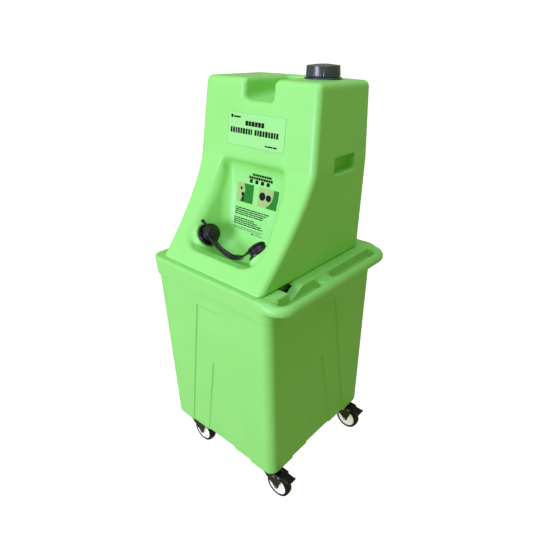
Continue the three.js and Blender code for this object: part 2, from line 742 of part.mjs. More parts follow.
function buildHub() {
  const { hubR, axleR, trail } = CASTER;
  const outline = [
    [axleR + GAP, -19], [14, -19], [hubR - 9, -8], [hubR, -15],
    [hubR, 15], [hubR - 9, 8], [14, 19], [axleR + GAP, 19], [axleR + GAP, -19],
  ];
  return aboutY(turned(outline, 16), trail, WHEEL_Z);
}

function buildTyre() {
  const { hubR, wheelR, width, trail } = CASTER;
  const h = width / 2;
  const outline = [
    [hubR + 1.2, -h], [wheelR - 3, -h + 2], [wheelR, -h + 8],
    [wheelR, h - 8], [wheelR - 3, h - 2], [hubR + 1.2, h], [hubR + 1.2, -h],
  ];
  return aboutY(turned(outline, 24), trail, WHEEL_Z);
}

function buildAxle() {
  const { axleR, trail } = CASTER;
  const face = LEG_Y + FORK_T + GAP;
  const outline = [
    [0, -face - 4], [9, -face - 4], [9, -face], [axleR, -face], [axleR, face], [9, face],
    [9, face + 4], [0, face + 4],
  ];
  return aboutY(turned(outline, 10), trail, WHEEL_Z);
}

function buildPedal() {
  const { x, z, pinR } = PEDAL;
  const outline = [
    [x - 5, z - 2.5], [x + 6, z - 4], [x + 22, z - 6], [x + 38, z - 14], [x + 56, z - 12],
    [x + 55, z - 5], [x + 38, z - 7], [x + 22, z + 1], [x + 5, z + 5], [x - 4, z + 5],
  ];
  const pin = aboutY(cylinder(pinR, -LEG_Y - FORK_T, LEG_Y + FORK_T, 12), x, z);
  return prismY(outline, -18, 18).add(pin);
}

const green = () => material(GREEN, 0.5);
const black = () => material(BLACK, 0.55);
const steel = () => material(0xc4c7ca, 0.3, 1);
const grey = () => material(0x3c4148, 0.4);

addNode('cart_tub', buildTub(), green());
addNode('cart_top', buildCartTop(), green());
for (const side of [-1, 1]) {
  for (const end of [-1, 1]) {
    const name = `rim_screw_${side < 0 ? 'left' : 'right'}_${end < 0 ? 'front' : 'rear'}`;
    addNode(name, buildScrew(end * SCREW.y, side, SCREW.z), steel());
  }
}
addNode('waste_plug_boss', buildPlugBoss(), black());
addNode('waste_plug_seal', buildPlugSeal(), material(0x202020, 0.8));
addNode('waste_plug', buildPlug(), black());

addNode('tank_shell', buildTank(), green());
addNode('filler_neck', buildFillerNeck(), grey());
addNode('filler_nut', buildFillerNut(), grey());
addNode('fill_cap_seal', buildCapSeal(), material(0x202020, 0.8));
addNode('fill_cap', buildFillCap(), grey());
for (const side of [-1, 1]) {
  const name = side < 0 ? 'left' : 'right';
  addNode(`nozzle_${name}`, buildNozzle(side), black());
  addNode(`nozzle_cap_${name}`, buildNozzleCap(side), black());
}
addNode('pull_strap', buildStrap(), black());
addNode('bowl_strainer', buildStrainer(), steel());
addNode('drain_spout', buildDrainSpout(), black());
addNode('label_front', plateOnFace(-143, 143, 1396, 1516, 0.8, tankFront), material(0xb9efab, 0.45));
addNode('label_instructions', plateOnFace(-104, 104, 1076, 1300, 0.8, bowlBack), material(0x8fe07a, 0.45));

for (const sx of [-1, 1]) {
  for (const sy of [-1, 1]) {
    const tag = `${sy < 0 ? 'front' : 'rear'}_${sx < 0 ? 'left' : 'right'}`;
    const group = new THREE.Group();
    group.name = `caster_${tag}`;
    group.position.set(sx * CASTER.x, sy * CASTER.y, 0);
    cart.add(group);
    addNode(`caster_plate_${tag}`, buildPlate(), steel(), group);
    addNode(`caster_race_${tag}`, buildRace(), black(), group);
    addNode(`caster_fork_${tag}`, buildFork(), black(), group);
    addNode(`caster_axle_${tag}`, buildAxle(), steel(), group);
    addNode(`wheel_hub_${tag}`, buildHub(), material(0xf2f2ee, 0.4), group);
    addNode(`wheel_tyre_${tag}`, buildTyre(), material(0x1a1a1a, 0.85), group);
    addNode(`brake_pedal_${tag}`, buildPedal(), black(), group);
  }
}

export default root;
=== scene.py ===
"""Looks of the portable eyewash station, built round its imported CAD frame.

Shapes are worked out in millimetres about the cart's centre line and a height datum, and `to_frame`
puts them in the row frame, in metres.
The moulded pieces are written as distance fields, so that every edge and blend is rounded as a moulding is.
"""
import json
import math

import bmesh
import bpy
import numpy as np
from mathutils import Matrix, Vector

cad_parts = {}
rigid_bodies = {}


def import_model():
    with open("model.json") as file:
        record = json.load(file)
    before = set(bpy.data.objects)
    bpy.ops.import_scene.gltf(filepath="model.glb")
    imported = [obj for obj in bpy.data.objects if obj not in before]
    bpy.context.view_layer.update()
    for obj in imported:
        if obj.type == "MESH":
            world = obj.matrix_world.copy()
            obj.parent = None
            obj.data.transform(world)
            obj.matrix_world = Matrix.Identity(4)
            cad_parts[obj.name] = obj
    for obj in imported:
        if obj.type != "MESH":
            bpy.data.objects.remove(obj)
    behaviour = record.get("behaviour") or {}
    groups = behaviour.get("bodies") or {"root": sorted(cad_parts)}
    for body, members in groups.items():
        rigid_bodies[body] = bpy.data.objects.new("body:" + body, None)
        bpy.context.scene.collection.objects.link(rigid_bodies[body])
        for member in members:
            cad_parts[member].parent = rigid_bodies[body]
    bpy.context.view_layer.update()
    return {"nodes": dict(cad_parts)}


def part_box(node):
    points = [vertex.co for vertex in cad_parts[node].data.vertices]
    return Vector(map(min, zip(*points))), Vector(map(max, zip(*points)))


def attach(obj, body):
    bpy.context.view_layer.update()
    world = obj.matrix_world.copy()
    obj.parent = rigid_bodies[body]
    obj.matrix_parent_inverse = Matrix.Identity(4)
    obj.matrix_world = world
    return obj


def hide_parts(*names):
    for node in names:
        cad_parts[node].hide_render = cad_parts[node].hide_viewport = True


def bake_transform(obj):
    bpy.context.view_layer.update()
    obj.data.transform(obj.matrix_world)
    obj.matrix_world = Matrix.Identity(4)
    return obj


for leftover in list(bpy.data.objects):
    bpy.data.objects.remove(leftover)
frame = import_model()

# ---- driving dimensions, in millimetres, as in the CAD ----
CART_X = -33.0
FLOOR_DROP = 17.0  # the casters reach this far below the height datum
CART_BASE_Z = 130.0
CREASE_Z = 884.0
TUB_TOP_Z = 924.0
DECK_Z = 968.0
TUB_BASE = (311.0, 322.0)
TUB_CREASE = (316.0, 336.0)
RIM = (324.0, 348.0)
CORNER_R = 42.0
WALL = 6.0

PANEL_TOP_Z, PANEL_APEX_Z = 826.0, 560.0
PANEL_TOP_HALF, PANEL_BASE_HALF = 64.0, 188.0
PANEL_INNER_HALF = 86.0
PANEL_STEP = 6.0
PANEL_SOFT = 4.0

TANK_Z0, TANK_MID_Z, TANK_Z1 = 968.3, 1350.0, 1630.0
TANK_HX = (270.0, 293.0, 277.0)
TANK_BACK = (283.0, 266.0, 277.0)
TANK_TOP_FRONT_Y = -29.71
TANK_FACE_SLOPE = 0.145
TANK_FLARE, TANK_FLARE_POWER = 204.0, 1.45

BOWL_BACK_Y, BOWL_BACK_TILT, BOWL_MID_Z = -60.0, 0.20, 1180.0
BOWL_FLOOR_Z = 988.0
CARRY_X, CARRY_HALF, CARRY_FLOOR_Z, CARRY_BACK_Y = 7.0, 69.0, 1552.0, 217.0
POCKET_AT, POCKET_HALF, POCKET_FLOOR_X = (113.0, 1352.0), (65.0, 30.0), 247.0
SIGN_AT, STEPS_AT = (6.0, 1456.0), (4.0, 1176.0)
PLUG_Z = 178.0

HANDLE_R, HANDLE_X, HANDLE_Z, HANDLE_BEND = 20.0, 372.0, 945.0, 64.0
HANDLE_END_X, HANDLE_Y = 268.0, 326.0

NOZZLE_AT = Vector((150.0, -186.0, 1044.0))
NOZZLE_TILT = (1.15, 0.18)
FILLER_AT = (151.0, 152.0)
DRAIN_AT = (0.0, -168.0)
CASTER_AT = (240.0, 262.0)
TRAIL, WHEEL_R = 58.0, 58.0
WHEEL_Z = WHEEL_R - FLOOR_DROP


def to_frame(points):
    """Millimetres about the cart's centre line to metres in the row frame."""
    out = np.array(points, dtype=float) * 0.001
    out[..., 0] += CART_X * 0.001
    out[..., 2] += FLOOR_DROP * 0.001
    return out


# ---------------------------------------------------------------- distance fields
def cut_round(a, b, r):
    """Intersection of two fields with a rounded edge of radius r."""
    u, v = np.maximum(a + r, 0), np.maximum(b + r, 0)
    return np.minimum(np.maximum(a, b), -r) + np.sqrt(u * u + v * v)


def join_round(a, b, r):
    return -cut_round(-a, -b, r)


def subtract_round(a, b, r):
    return cut_round(a, -b, r)


def rect_round(u, v, hu, hv, r):
    """Distance to a rounded rectangle centred on the origin."""
    qu, qv = np.abs(u) - (hu - r), np.abs(v) - (hv - r)
    outside = np.sqrt(np.maximum(qu, 0) ** 2 + np.maximum(qv, 0) ** 2)
    return outside + np.minimum(np.maximum(qu, qv), 0) - r


def slab(v, low, high):
    return np.maximum(low - v, v - high)


def ramp(v, v0, v1):
    return np.clip((v - v0) / (v1 - v0), 0, 1)


def along(point, axis, x, y, z):
    """Distance along an axis from a point, and radius about it."""
    dx, dy, dz = x - point[0], y - point[1], z - point[2]
    t = dx * axis[0] + dy * axis[1] + dz * axis[2]
    r2 = dx * dx + dy * dy + dz * dz - t * t
    return t, np.sqrt(np.maximum(r2, 0))


def net_of(field, low, high, step):
    """Surface nets over a field: one vertex per crossed cell, then moved onto the surface itself."""
    axes = [np.arange(low[k], high[k] + step, step, dtype=np.float32) for k in range(3)]
    x, y, z = np.meshgrid(*axes, indexing="ij", sparse=True)
    f = np.broadcast_to(field(x, y, z), [len(a) for a in axes]).astype(np.float32)
    inside = f < 0
    count = np.zeros([n - 1 for n in f.shape], np.int8)
    corners = [(i, j, k) for i in (0, 1) for j in (0, 1) for k in (0, 1)]
    for i, j, k in corners:
        count += inside[i : i + count.shape[0], j : j + count.shape[1], k : k + count.shape[2]]
    cells = np.argwhere((count > 0) & (count < 8))
    number = np.full(count.shape, -1, np.int32)
    number[tuple(cells.T)] = np.arange(len(cells))
    value = {c: f[tuple((cells + c).T)] for c in corners}
    total, hits = np.zeros((len(cells), 3)), np.zeros(len(cells))
    for a in corners:
        for axis in range(3):
            if a[axis]:
                continue
            b = tuple(v + (n == axis) for n, v in enumerate(a))
            crossed = (value[a] < 0) != (value[b] < 0)
            t = value[a][crossed] / (value[a][crossed] - value[b][crossed])
            point = np.tile(np.array(a, float), (int(crossed.sum()), 1))
            point[:, axis] += t
            total[crossed] += point
            hits[crossed] += 1
    verts = (cells + total / hits[:, None]) * step + np.array(low)
    faces = []
    for axis in range(3):
        one, two = (axis + 1) % 3, (axis + 2) % 3
        start = [slice(None)] * 3
        start[axis] = slice(0, -1)
        after = list(start)
        after[axis] = slice(1, None)
        changed = inside[tuple(start)] != inside[tuple(after)]
        edges = np.argwhere(changed)
        edges = edges[(edges[:, one] > 0) & (edges[:, two] > 0)]
        limit = np.array(count.shape)
        edges = edges[(edges[:, one] < limit[one]) & (edges[:, two] < limit[two])]
        quad = []
        for d1, d2 in ((1, 1), (0, 1), (0, 0), (1, 0)):
            cell = edges.copy()
            cell[:, one] -= d1
            cell[:, two] -= d2
            quad.append(number[tuple(cell.T)])
        quad = np.stack(quad, 1)
        flip = ~inside[tuple(edges.T)]
        quad[flip] = quad[flip][:, ::-1]
        faces.append(quad)
    faces = np.concatenate(faces)

    def at(p):
        return field(p[:, 0], p[:, 1], p[:, 2])

    for _ in range(3):
        grad = np.stack([(at(verts + e) - at(verts - e)) for e in np.eye(3) * 0.25], 1) / 0.5
        size = np.maximum((grad**2).sum(1), 0.2)
        move = grad * (at(verts) / size)[:, None]
        length = np.linalg.norm(move, axis=1)
        verts -= move * np.minimum(1, step * 0.7 / np.maximum(length, 1e-9))[:, None]
    return verts, faces


# ---------------------------------------------------------------- mesh helpers
def new_object(name, verts, faces, material, smooth=True, in_frame=False):
    mesh = bpy.data.meshes.new(name)
    points = np.array(verts, float) if in_frame else to_frame(verts)
    faces = np.asarray(faces) if not isinstance(faces, list) else faces
    mesh.from_pydata([tuple(p) for p in points], [], [tuple(int(i) for i in f) for f in faces])
    mesh.validate()
    mesh.update()
    if smooth:
        mesh.polygons.foreach_set("use_smooth", [True] * len(mesh.polygons))
    obj = bpy.data.objects.new(name, mesh)
    bpy.context.scene.collection.objects.link(obj)
    mesh.materials.append(material)
    return obj


def from_field(name, field, low, high, step, material):
    verts, faces = net_of(field, low, high, step)
    return new_object(name, verts, faces, material)


def add_bevel(obj, width, segments=3, angle=30):
    mod = obj.modifiers.new("edges", "BEVEL")
    mod.width = width * 0.001
    mod.segments = segments
    mod.limit_method = "ANGLE"
    mod.angle_limit = math.radians(angle)
    mod.harden_normals = True
    return obj


def add_smooth_levels(obj, levels=2):
    mod = obj.modifiers.new("subdivide", "SUBSURF")
    mod.levels = levels
    mod.render_levels = levels
    return obj


def smooth_outline(points, arc=4):
    """Rounds the corners of a closed outline whose points may carry a radius as a third number."""
    out = []
    n = len(points)
    for i, p in enumerate(points):
        r = p[2] if len(p) > 2 else 0
        here = Vector(p[:2])
        if not r:
            out.append(tuple(here))
            continue
        back = Vector(points[i - 1][:2]) - here
        ahead = Vector(points[(i + 1) % n][:2]) - here
        reach = min(r, back.length * 0.48, ahead.length * 0.48)
        a, b = here + back.normalized() * reach, here + ahead.normalized() * reach
        for k in range(arc + 1):
            t = k / arc
            out.append(tuple(a * (1 - t) ** 2 + here * 2 * t * (1 - t) + b * t * t))
    return out


def lathe(name, outline, material, at=(0, 0, 0), axis=(0, 0, 1), segments=64, arc=3, wobble=None):
    """Turns a closed [radius, height, rounding] outline about an axis through a point."""
    profile = smooth_outline(outline, arc)
    turn = Vector((0, 0, 1)).rotation_difference(Vector(axis).normalized())
    verts, faces = [], []
    ring = len(profile)
    for s in range(segments):
        a = 2 * math.pi * s / segments
        for r, h in profile:
            grown = r if wobble is None else wobble(r, h, a)
            p = turn @ Vector((grown * math.cos(a), grown * math.sin(a), h)) + Vector(at)
            verts.append(tuple(p))
    for s in range(segments):
        t = (s + 1) % segments
        for k in range(ring):
            m = (k + 1) % ring
            faces.append((s * ring + k, t * ring + k, t * ring + m, s * ring + m))
    obj = new_object(name, verts, faces, material)
    clean(obj)
    return obj


def clean(obj, distance=1e-6):
    bm = bmesh.new()
    bm.from_mesh(obj.data)
    bmesh.ops.remove_doubles(bm, verts=bm.verts, dist=distance)
    bmesh.ops.recalc_face_normals(bm, faces=bm.faces)
    bm.to_mesh(obj.data)
    bm.free()


def prism(name, outline, depth, material, at=(0, 0, 0), u=(1, 0, 0), v=(0, 0, 1), arc=3, bevel=0.6):
    """Extrudes a rounded [u, v, rounding] outline along u x v, centred on its depth."""
    points = smooth_outline(outline, arc)
    u, v = Vector(u).normalized(), Vector(v).normalized()
    w = u.cross(v)
    n = len(points)
    verts = []
    for side in (-0.5, 0.5):
        for a, b in points:
            verts.append(tuple(Vector(at) + u * a + v * b + w * (side * depth)))
    faces = [tuple(range(n))[::-1], tuple(range(n, 2 * n))]
    faces += [(k, (k + 1) % n, n + (k + 1) % n, n + k) for k in range(n)]
    obj = new_object(name, verts, faces, material, smooth=True)
    clean(obj)
    if bevel:
        add_bevel(obj, bevel)
    return obj


def sweep(name, path, section, material, closed=False, caps=True):
    """Carries a section of (across, up) offsets along a path of (point, across, up, scale)."""
    n = len(section(0))
    verts, faces = [], []
    for i, (p, across, up, t) in enumerate(path):
        for a, b in section(t):
            verts.append(tuple(p + across * a + up * b))
    rows = len(path)
    for i in range(rows - (0 if closed else 1)):
        j = (i + 1) % rows
        for k in range(n):
            m = (k + 1) % n
            faces.append((i * n + k, i * n + m, j * n + m, j * n + k))
    if caps and not closed:
        faces.append(tuple(range(n))[::-1])
        faces.append(tuple(range((rows - 1) * n, rows * n)))
    obj = new_object(name, verts, faces, material)
    clean(obj)
    return obj


# ---------------------------------------------------------------- materials
def node_material(name):
    mat = bpy.data.materials.new(name)
    mat.use_nodes = True
    tree = mat.node_tree
    return mat, tree, tree.nodes["Principled BSDF"]


def noise(tree, scale, detail=4, rough=0.55, stretch=None):
    coords = tree.nodes.new("ShaderNodeTexCoord")
    out = coords.outputs["Object"]
    if stretch:
        mapping = tree.nodes.new("ShaderNodeMapping")
        mapping.inputs["Scale"].default_value = stretch
        tree.links.new(out, mapping.inputs["Vector"])
        out = mapping.outputs["Vector"]
    tex = tree.nodes.new("ShaderNodeTexNoise")
    tex.inputs["Scale"].default_value = scale
    tex.inputs["Detail"].default_value = detail
    tex.inputs["Roughness"].default_value = rough
    tree.links.new(out, tex.inputs["Vector"])
    return tex.outputs["Fac"]


def ranged(tree, value, low, high, out_low, out_high):
    node = tree.nodes.new("ShaderNodeMapRange")
    for key, number in (("From Min", low), ("From Max", high), ("To Min", out_low), ("To Max", out_high)):
        node.inputs[key].default_value = number
    tree.links.new(value, node.inputs["Value"])
    return node.outputs["Result"]


def mixed(tree, fac, a, b):
    node = tree.nodes.new("ShaderNodeMix")
    node.data_type = "RGBA"
    for socket, value in ((node.inputs[6], a), (node.inputs[7], b)):
        if isinstance(value, tuple):
            socket.default_value = (*value, 1)
        else:
            tree.links.new(value, socket)
    tree.links.new(fac, node.inputs[0])
    return node.outputs[2]


def bump(tree, bsdf, height, strength, distance=0.0004, after=None):
    node = tree.nodes.new("ShaderNodeBump")
    node.inputs["Strength"].default_value = strength
    node.inputs["Distance"].default_value = distance
    tree.links.new(height, node.inputs["Height"])
    if after is not None:
        tree.links.new(after, node.inputs["Normal"])
    tree.links.new(node.outputs["Normal"], bsdf.inputs["Normal"])
    return node.outputs["Normal"]


def edge_wear(tree, low=0.52, high=0.62):
    geometry = tree.nodes.new("ShaderNodeNewGeometry")
    return ranged(tree, geometry.outputs["Pointiness"], low, high, 0, 1)


def moulded_plastic(name, colour, pale, deep, rough=0.42, grain=900, skin=0.12):
    """Rotationally moulded polyethylene: cloudy colour, fine orange-peel skin, faint handling scuffs."""
    mat, tree, bsdf = node_material(name)
    cloud = noise(tree, 5.5, 3)
    body = mixed(tree, ranged(tree, cloud, 0.3, 0.7, 0, 1), deep, colour)
    speck = noise(tree, 260, 2)
    body = mixed(tree, ranged(tree, speck, 0.62, 0.8, 0, 0.25), body, pale)
    body = mixed(tree, edge_wear(tree), body, pale)
    tree.links.new(body, bsdf.inputs["Base Color"])
    scuff = noise(tree, 38, 5, 0.6, stretch=(1, 1, 0.25))
    tree.links.new(ranged(tree, scuff, 0.35, 0.75, rough - 0.07, rough + 0.13), bsdf.inputs["Roughness"])
    peel = bump(tree, bsdf, noise(tree, grain, 2), skin, 0.0005)
    bump(tree, bsdf, noise(tree, 17, 2), 0.10, 0.002, peel)
    bsdf.inputs["Specular IOR Level"].default_value = 0.3
    bsdf.inputs["Subsurface Weight"].default_value = 0.06
    bsdf.inputs["Subsurface Scale"].default_value = 0.012
    bsdf.inputs["IOR"].default_value = 1.5
    return mat


def dark_moulding(name, colour, rough, grain=1400, skin=0.2, gloss=0.0):
    mat, tree, bsdf = node_material(name)
    cloud = noise(tree, 30, 4)
    lighter = tuple(min(1, c * 1.5 + 0.001) for c in colour)
    body = mixed(tree, ranged(tree, cloud, 0.35, 0.75, 0, 0.55), colour, lighter)
    body = mixed(tree, edge_wear(tree, 0.53, 0.68), body, tuple(min(1, c * 1.8 + 0.005) for c in colour))
    tree.links.new(body, bsdf.inputs["Base Color"])
    smear = noise(tree, 70, 5)
    tree.links.new(ranged(tree, smear, 0.3, 0.75, rough - 0.1, rough + 0.12), bsdf.inputs["Roughness"])
    bump(tree, bsdf, noise(tree, grain, 3), skin, 0.0003)
    bsdf.inputs["Specular Tint"].default_value = (1.0, 0.98, 0.58, 1)
    bsdf.inputs["Specular IOR Level"].default_value = 0.35 + 0.7 * gloss
    return mat


def plated_steel(name, colour=(0.62, 0.63, 0.65), rough=0.28):
    mat, tree, bsdf = node_material(name)
    bsdf.inputs["Metallic"].default_value = 1
    cloud = noise(tree, 55, 4)
    dull = tuple(c * 0.7 for c in colour)
    tree.links.new(mixed(tree, ranged(tree, cloud, 0.3, 0.7, 0, 1), dull, colour), bsdf.inputs["Base Color"])
    brushed = noise(tree, 420, 3, 0.6, stretch=(1, 8, 8))
    tree.links.new(ranged(tree, brushed, 0.3, 0.7, rough - 0.08, rough + 0.14), bsdf.inputs["Roughness"])
    bump(tree, bsdf, brushed, 0.12, 0.0002)
    return mat


def printed_film(name, colour, rough=0.35):
    mat, tree, bsdf = node_material(name)
    cloud = noise(tree, 12, 3)
    deep = tuple(c * 0.93 for c in colour)
    tree.links.new(mixed(tree, cloud, deep, colour), bsdf.inputs["Base Color"])
    smear = ranged(tree, noise(tree, 90, 4), 0.3, 0.7, rough - 0.06, rough + 0.1)
    tree.links.new(smear, bsdf.inputs["Roughness"])
    bump(tree, bsdf, noise(tree, 40, 2), 0.08, 0.001)
    bsdf.inputs["Specular IOR Level"].default_value = 0.2
    return mat


def surface(material):
    return next(n for n in material.node_tree.nodes if n.type == "BSDF_PRINCIPLED").inputs


TANK_GREEN = moulded_plastic("tank_green", (0.30, 0.80, 0.135), (0.38, 0.85, 0.22), (0.28, 0.77, 0.125))
# Painted shade: the cart's green is the tank's green made a little darker, for the lesser light on the cart's
# lower sides.
CART_GREEN = moulded_plastic("cart_green", (0.29, 0.77, 0.13), (0.37, 0.83, 0.21), (0.27, 0.74, 0.12))
RUBBER = dark_moulding("black_rubber", (0.0035, 0.0045, 0.004), 0.40, grain=900, gloss=0.12)
BLACK_PLASTIC = dark_moulding("black_plastic", (0.005, 0.005, 0.006), 0.36)
BLACK_COAT = dark_moulding("black_coat", (0.006, 0.006, 0.006), 0.33, grain=700, skin=0.12, gloss=0.25)
GREY_PLASTIC = dark_moulding("grey_plastic", (0.032, 0.042, 0.040), 0.24, grain=1100, skin=0.1, gloss=0.5)
SEAL = dark_moulding("seal_rubber", (0.02, 0.02, 0.02), 0.6)
TYRE = dark_moulding("tyre_rubber", (0.006, 0.006, 0.006), 0.46, grain=500, skin=0.3)
HUB_WHITE = moulded_plastic(
    "hub_white", (0.92, 0.92, 0.66), (0.96, 0.96, 0.70), (0.86, 0.86, 0.62), 0.35, 1500, 0.06)
# Painted light: the hub also glows with a faint white emission, so it stays bright whatever the lamps do.
surface(HUB_WHITE)["Emission Color"].default_value = (1, 1, 1, 1)
surface(HUB_WHITE)["Emission Strength"].default_value = 0.3
STEEL = plated_steel("plated_steel")
# Painted shade: the strainer's steel is darker and yellower than the plated steel, toning down the bluish light
# it reflects; it is rougher too.
DULL_STEEL = plated_steel("dull_steel", (0.26, 0.28, 0.20), 0.55)
ZINC = plated_steel("zinc_steel", (0.5, 0.51, 0.53), 0.36)
FILM = printed_film("label_film", (0.34, 0.82, 0.18))
INK = dark_moulding("print_ink", (0.002, 0.006, 0.002), 0.6, skin=0.05)
surface(INK)["Specular IOR Level"].default_value = 0.1
INK_GREEN = printed_film("print_green", (0.015, 0.22, 0.012))
INK_EDGE = printed_film("print_edge", (0.20, 0.56, 0.12))
INK_PALE = printed_film("print_pale", (0.36, 0.55, 0.13))


# ---------------------------------------------------------------- tank
def tank_front(z):
    u = np.clip((TANK_MID_Z - z) / (TANK_MID_Z - TANK_Z0), 0, 1)
    return TANK_TOP_FRONT_Y - TANK_FACE_SLOPE * (TANK_Z1 - z) - TANK_FLARE * u**TANK_FLARE_POWER


def tank_front_slope(z):
    return (tank_front(z + 1.0) - tank_front(z - 1.0)) / 2.0


def three_way(values, z):
    low = values[0] + (values[1] - values[0]) * ramp(z, TANK_Z0, TANK_MID_Z)
    return low + (values[2] - values[1]) * ramp(z, TANK_MID_Z, TANK_Z1)


def nozzle_axis(side):
    return Vector((-side * NOZZLE_TILT[0], NOZZLE_TILT[1], 1)).normalized()


def nozzle_point(side, offset=0.0):
    at = Vector((side * NOZZLE_AT.x, NOZZLE_AT.y, NOZZLE_AT.z))
    return at + nozzle_axis(side) * offset


def bowl_back(z):
    return BOWL_BACK_Y + BOWL_BACK_TILT * (z - BOWL_MID_Z)


def bowl_field(x, y, z):
    """The eyewash bowl: walls that spread forwards, a sloping ceiling, a lipped floor, a leaning back."""
    half = 142.0 + 0.338 * (-94.0 - y) + 25.0 * ramp(z, 1080.0, 1300.0)
    side = (np.abs(x) - half) / 1.055
    lip = (990.0 + 0.62 * (-226.0 - y) - z) / 1.18
    bottom = cut_round(BOWL_FLOOR_Z - z, lip, 34)
    top = (z - (1350.0 + 0.9 * (-75.0 - y))) / 1.35
    back = y - bowl_back(z)
    room = cut_round(side, bottom, 88)
    room = cut_round(room, top, 20)
    return cut_round(room, back, 40.0 - 24.0 * ramp(z, 1200.0, 1270.0))


def carry_field(x, y, z):
    side = np.abs(x - CARRY_X) - CARRY_HALF
    rise = (1383.0 + y - z) * 0.707
    floor = cut_round(CARRY_FLOOR_Z + 0.085 * (y + 90.0) - z, rise, 18)
    room = cut_round(side, floor, 20)
    return cut_round(room, y - CARRY_BACK_Y, 16)


def tank_crown(x, y):
    """Height of the tank's top, which swells towards its front edge and droops at its rear corner."""
    return 1634.0 - 5.5 * ramp(y, -30.0, 277.0) - 3.0 * ramp(x, 60.0, 277.0) * ramp(y, 0.0, 277.0)


def pocket_field(x, y, z):
    room = rect_round(y - POCKET_AT[0], z - POCKET_AT[1], *POCKET_HALF, 11)
    return cut_round(room, POCKET_FLOOR_X - np.abs(x), 9)


def tank_field(x, y, z):
    side = np.abs(x) - three_way(TANK_HX, z)
    front = (tank_front(z) - y) / np.sqrt(1 + tank_front_slope(z) ** 2)
    back = y - three_way(TANK_BACK, z)
    body = cut_round(cut_round(side, front, 23), back, 23)
    body = cut_round(body, z - tank_crown(x, y), 22)
    body = cut_round(body, TANK_Z0 - z, 9)
    whole = body
    soft = 10.0 + 24.0 * ramp(1330.0 - z, 0.0, 80.0) * ramp(z, 1020.0, 1100.0)
    body = subtract_round(body, bowl_field(x, y, z), soft)
    lip = 18.0 - 10.0 * ramp(y, 30.0, 90.0) * ramp(x, 0.0, 60.0)
    body = subtract_round(body, carry_field(x, y, z), lip)
    body = subtract_round(body, pocket_field(x, y, z), 5)
    for sign in (-1, 1):
        t, r = along(nozzle_point(sign), nozzle_axis(sign), x, y, z)
        boss = cut_round((r - 53.0) * 0.99, t, 5)
        boss = cut_round(boss, whole + 2, 6)
        body = join_round(body, np.maximum(boss, -t - 70), 14)
        seat = np.maximum(np.maximum(r - 46.8, -t), t - 56)
        body = subtract_round(body, seat, 2.0)
    drain = np.sqrt((x - DRAIN_AT[0]) ** 2 + (y - DRAIN_AT[1]) ** 2)
    return subtract_round(body, np.maximum(drain - 26, 984 - z), 3)


tank = from_field("tank_moulding", tank_field, (-300, -340, 960), (300, 292, 1642), 5.0, TANK_GREEN)
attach(tank, "tank")
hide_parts("tank_shell")


# ---------------------------------------------------------------- cart tub
def tub_half(z):
    t = (z - CART_BASE_Z) / (CREASE_Z - CART_BASE_Z)
    return tuple(a + (b - a) * t for a, b in zip(TUB_BASE, TUB_CREASE))


def panel_columns(z):
    """Half-width and depth of the wall steps at height z, from the wall's corner to its middle."""
    t = float(np.clip((PANEL_TOP_Z - z) / (PANEL_TOP_Z - CART_BASE_Z), 0, 1))
    s = float(np.clip((PANEL_APEX_Z - z) / (PANEL_APEX_Z - CART_BASE_Z), 0, 1))
    outer = PANEL_TOP_HALF + (PANEL_BASE_HALF - PANEL_TOP_HALF) * t
    inner = 7 + (PANEL_INNER_HALF - 7) * s
    top = float(ramp(-z, -PANEL_TOP_Z, -(PANEL_TOP_Z - PANEL_SOFT)))
    apex = float(ramp(-z, -PANEL_APEX_Z, -(PANEL_APEX_Z - PANEL_SOFT)))
    one, two = PANEL_STEP * top, PANEL_STEP * (top + apex)
    soft = PANEL_SOFT
    mid = (outer + inner) / 2
    return [
        (outer + soft * 2.2, 0), (outer + soft, 0), (outer + soft * 0.6, 0), (outer, one), (outer - soft, one),
        (mid + soft * 0.3, one), (inner + soft, one), (inner + soft * 0.6, one),
        (inner, two), (inner * 0.6, two),
    ]


def tub_loop(z, inset, z_shape=None):
    shape = z if z_shape is None else z_shape
    hx, hy = (h - inset for h in tub_half(z))
    r = CORNER_R - min(inset, 14)
    columns = panel_columns(shape)
    walk = columns + [(-w, d) for w, d in reversed(columns)]
    loop = []
    arcs = [(hx - r, -hy + r, -90), (hx - r, hy - r, 0), (-hx + r, hy - r, 90), (-hx + r, -hy + r, 180)]
    for (cx, cy, start), (nx, ny) in zip(arcs, ((1, 0), (0, 1), (-1, 0), (0, -1))):
        for i in range(7):
            a = math.radians(start + 15 * i)
            loop.append((cx + r * math.cos(a), cy + r * math.sin(a), z))
        for w, d in walk:
            loop.append((nx * (hx - d) + ny * w, ny * (hy - d) - nx * w, z))
    return loop


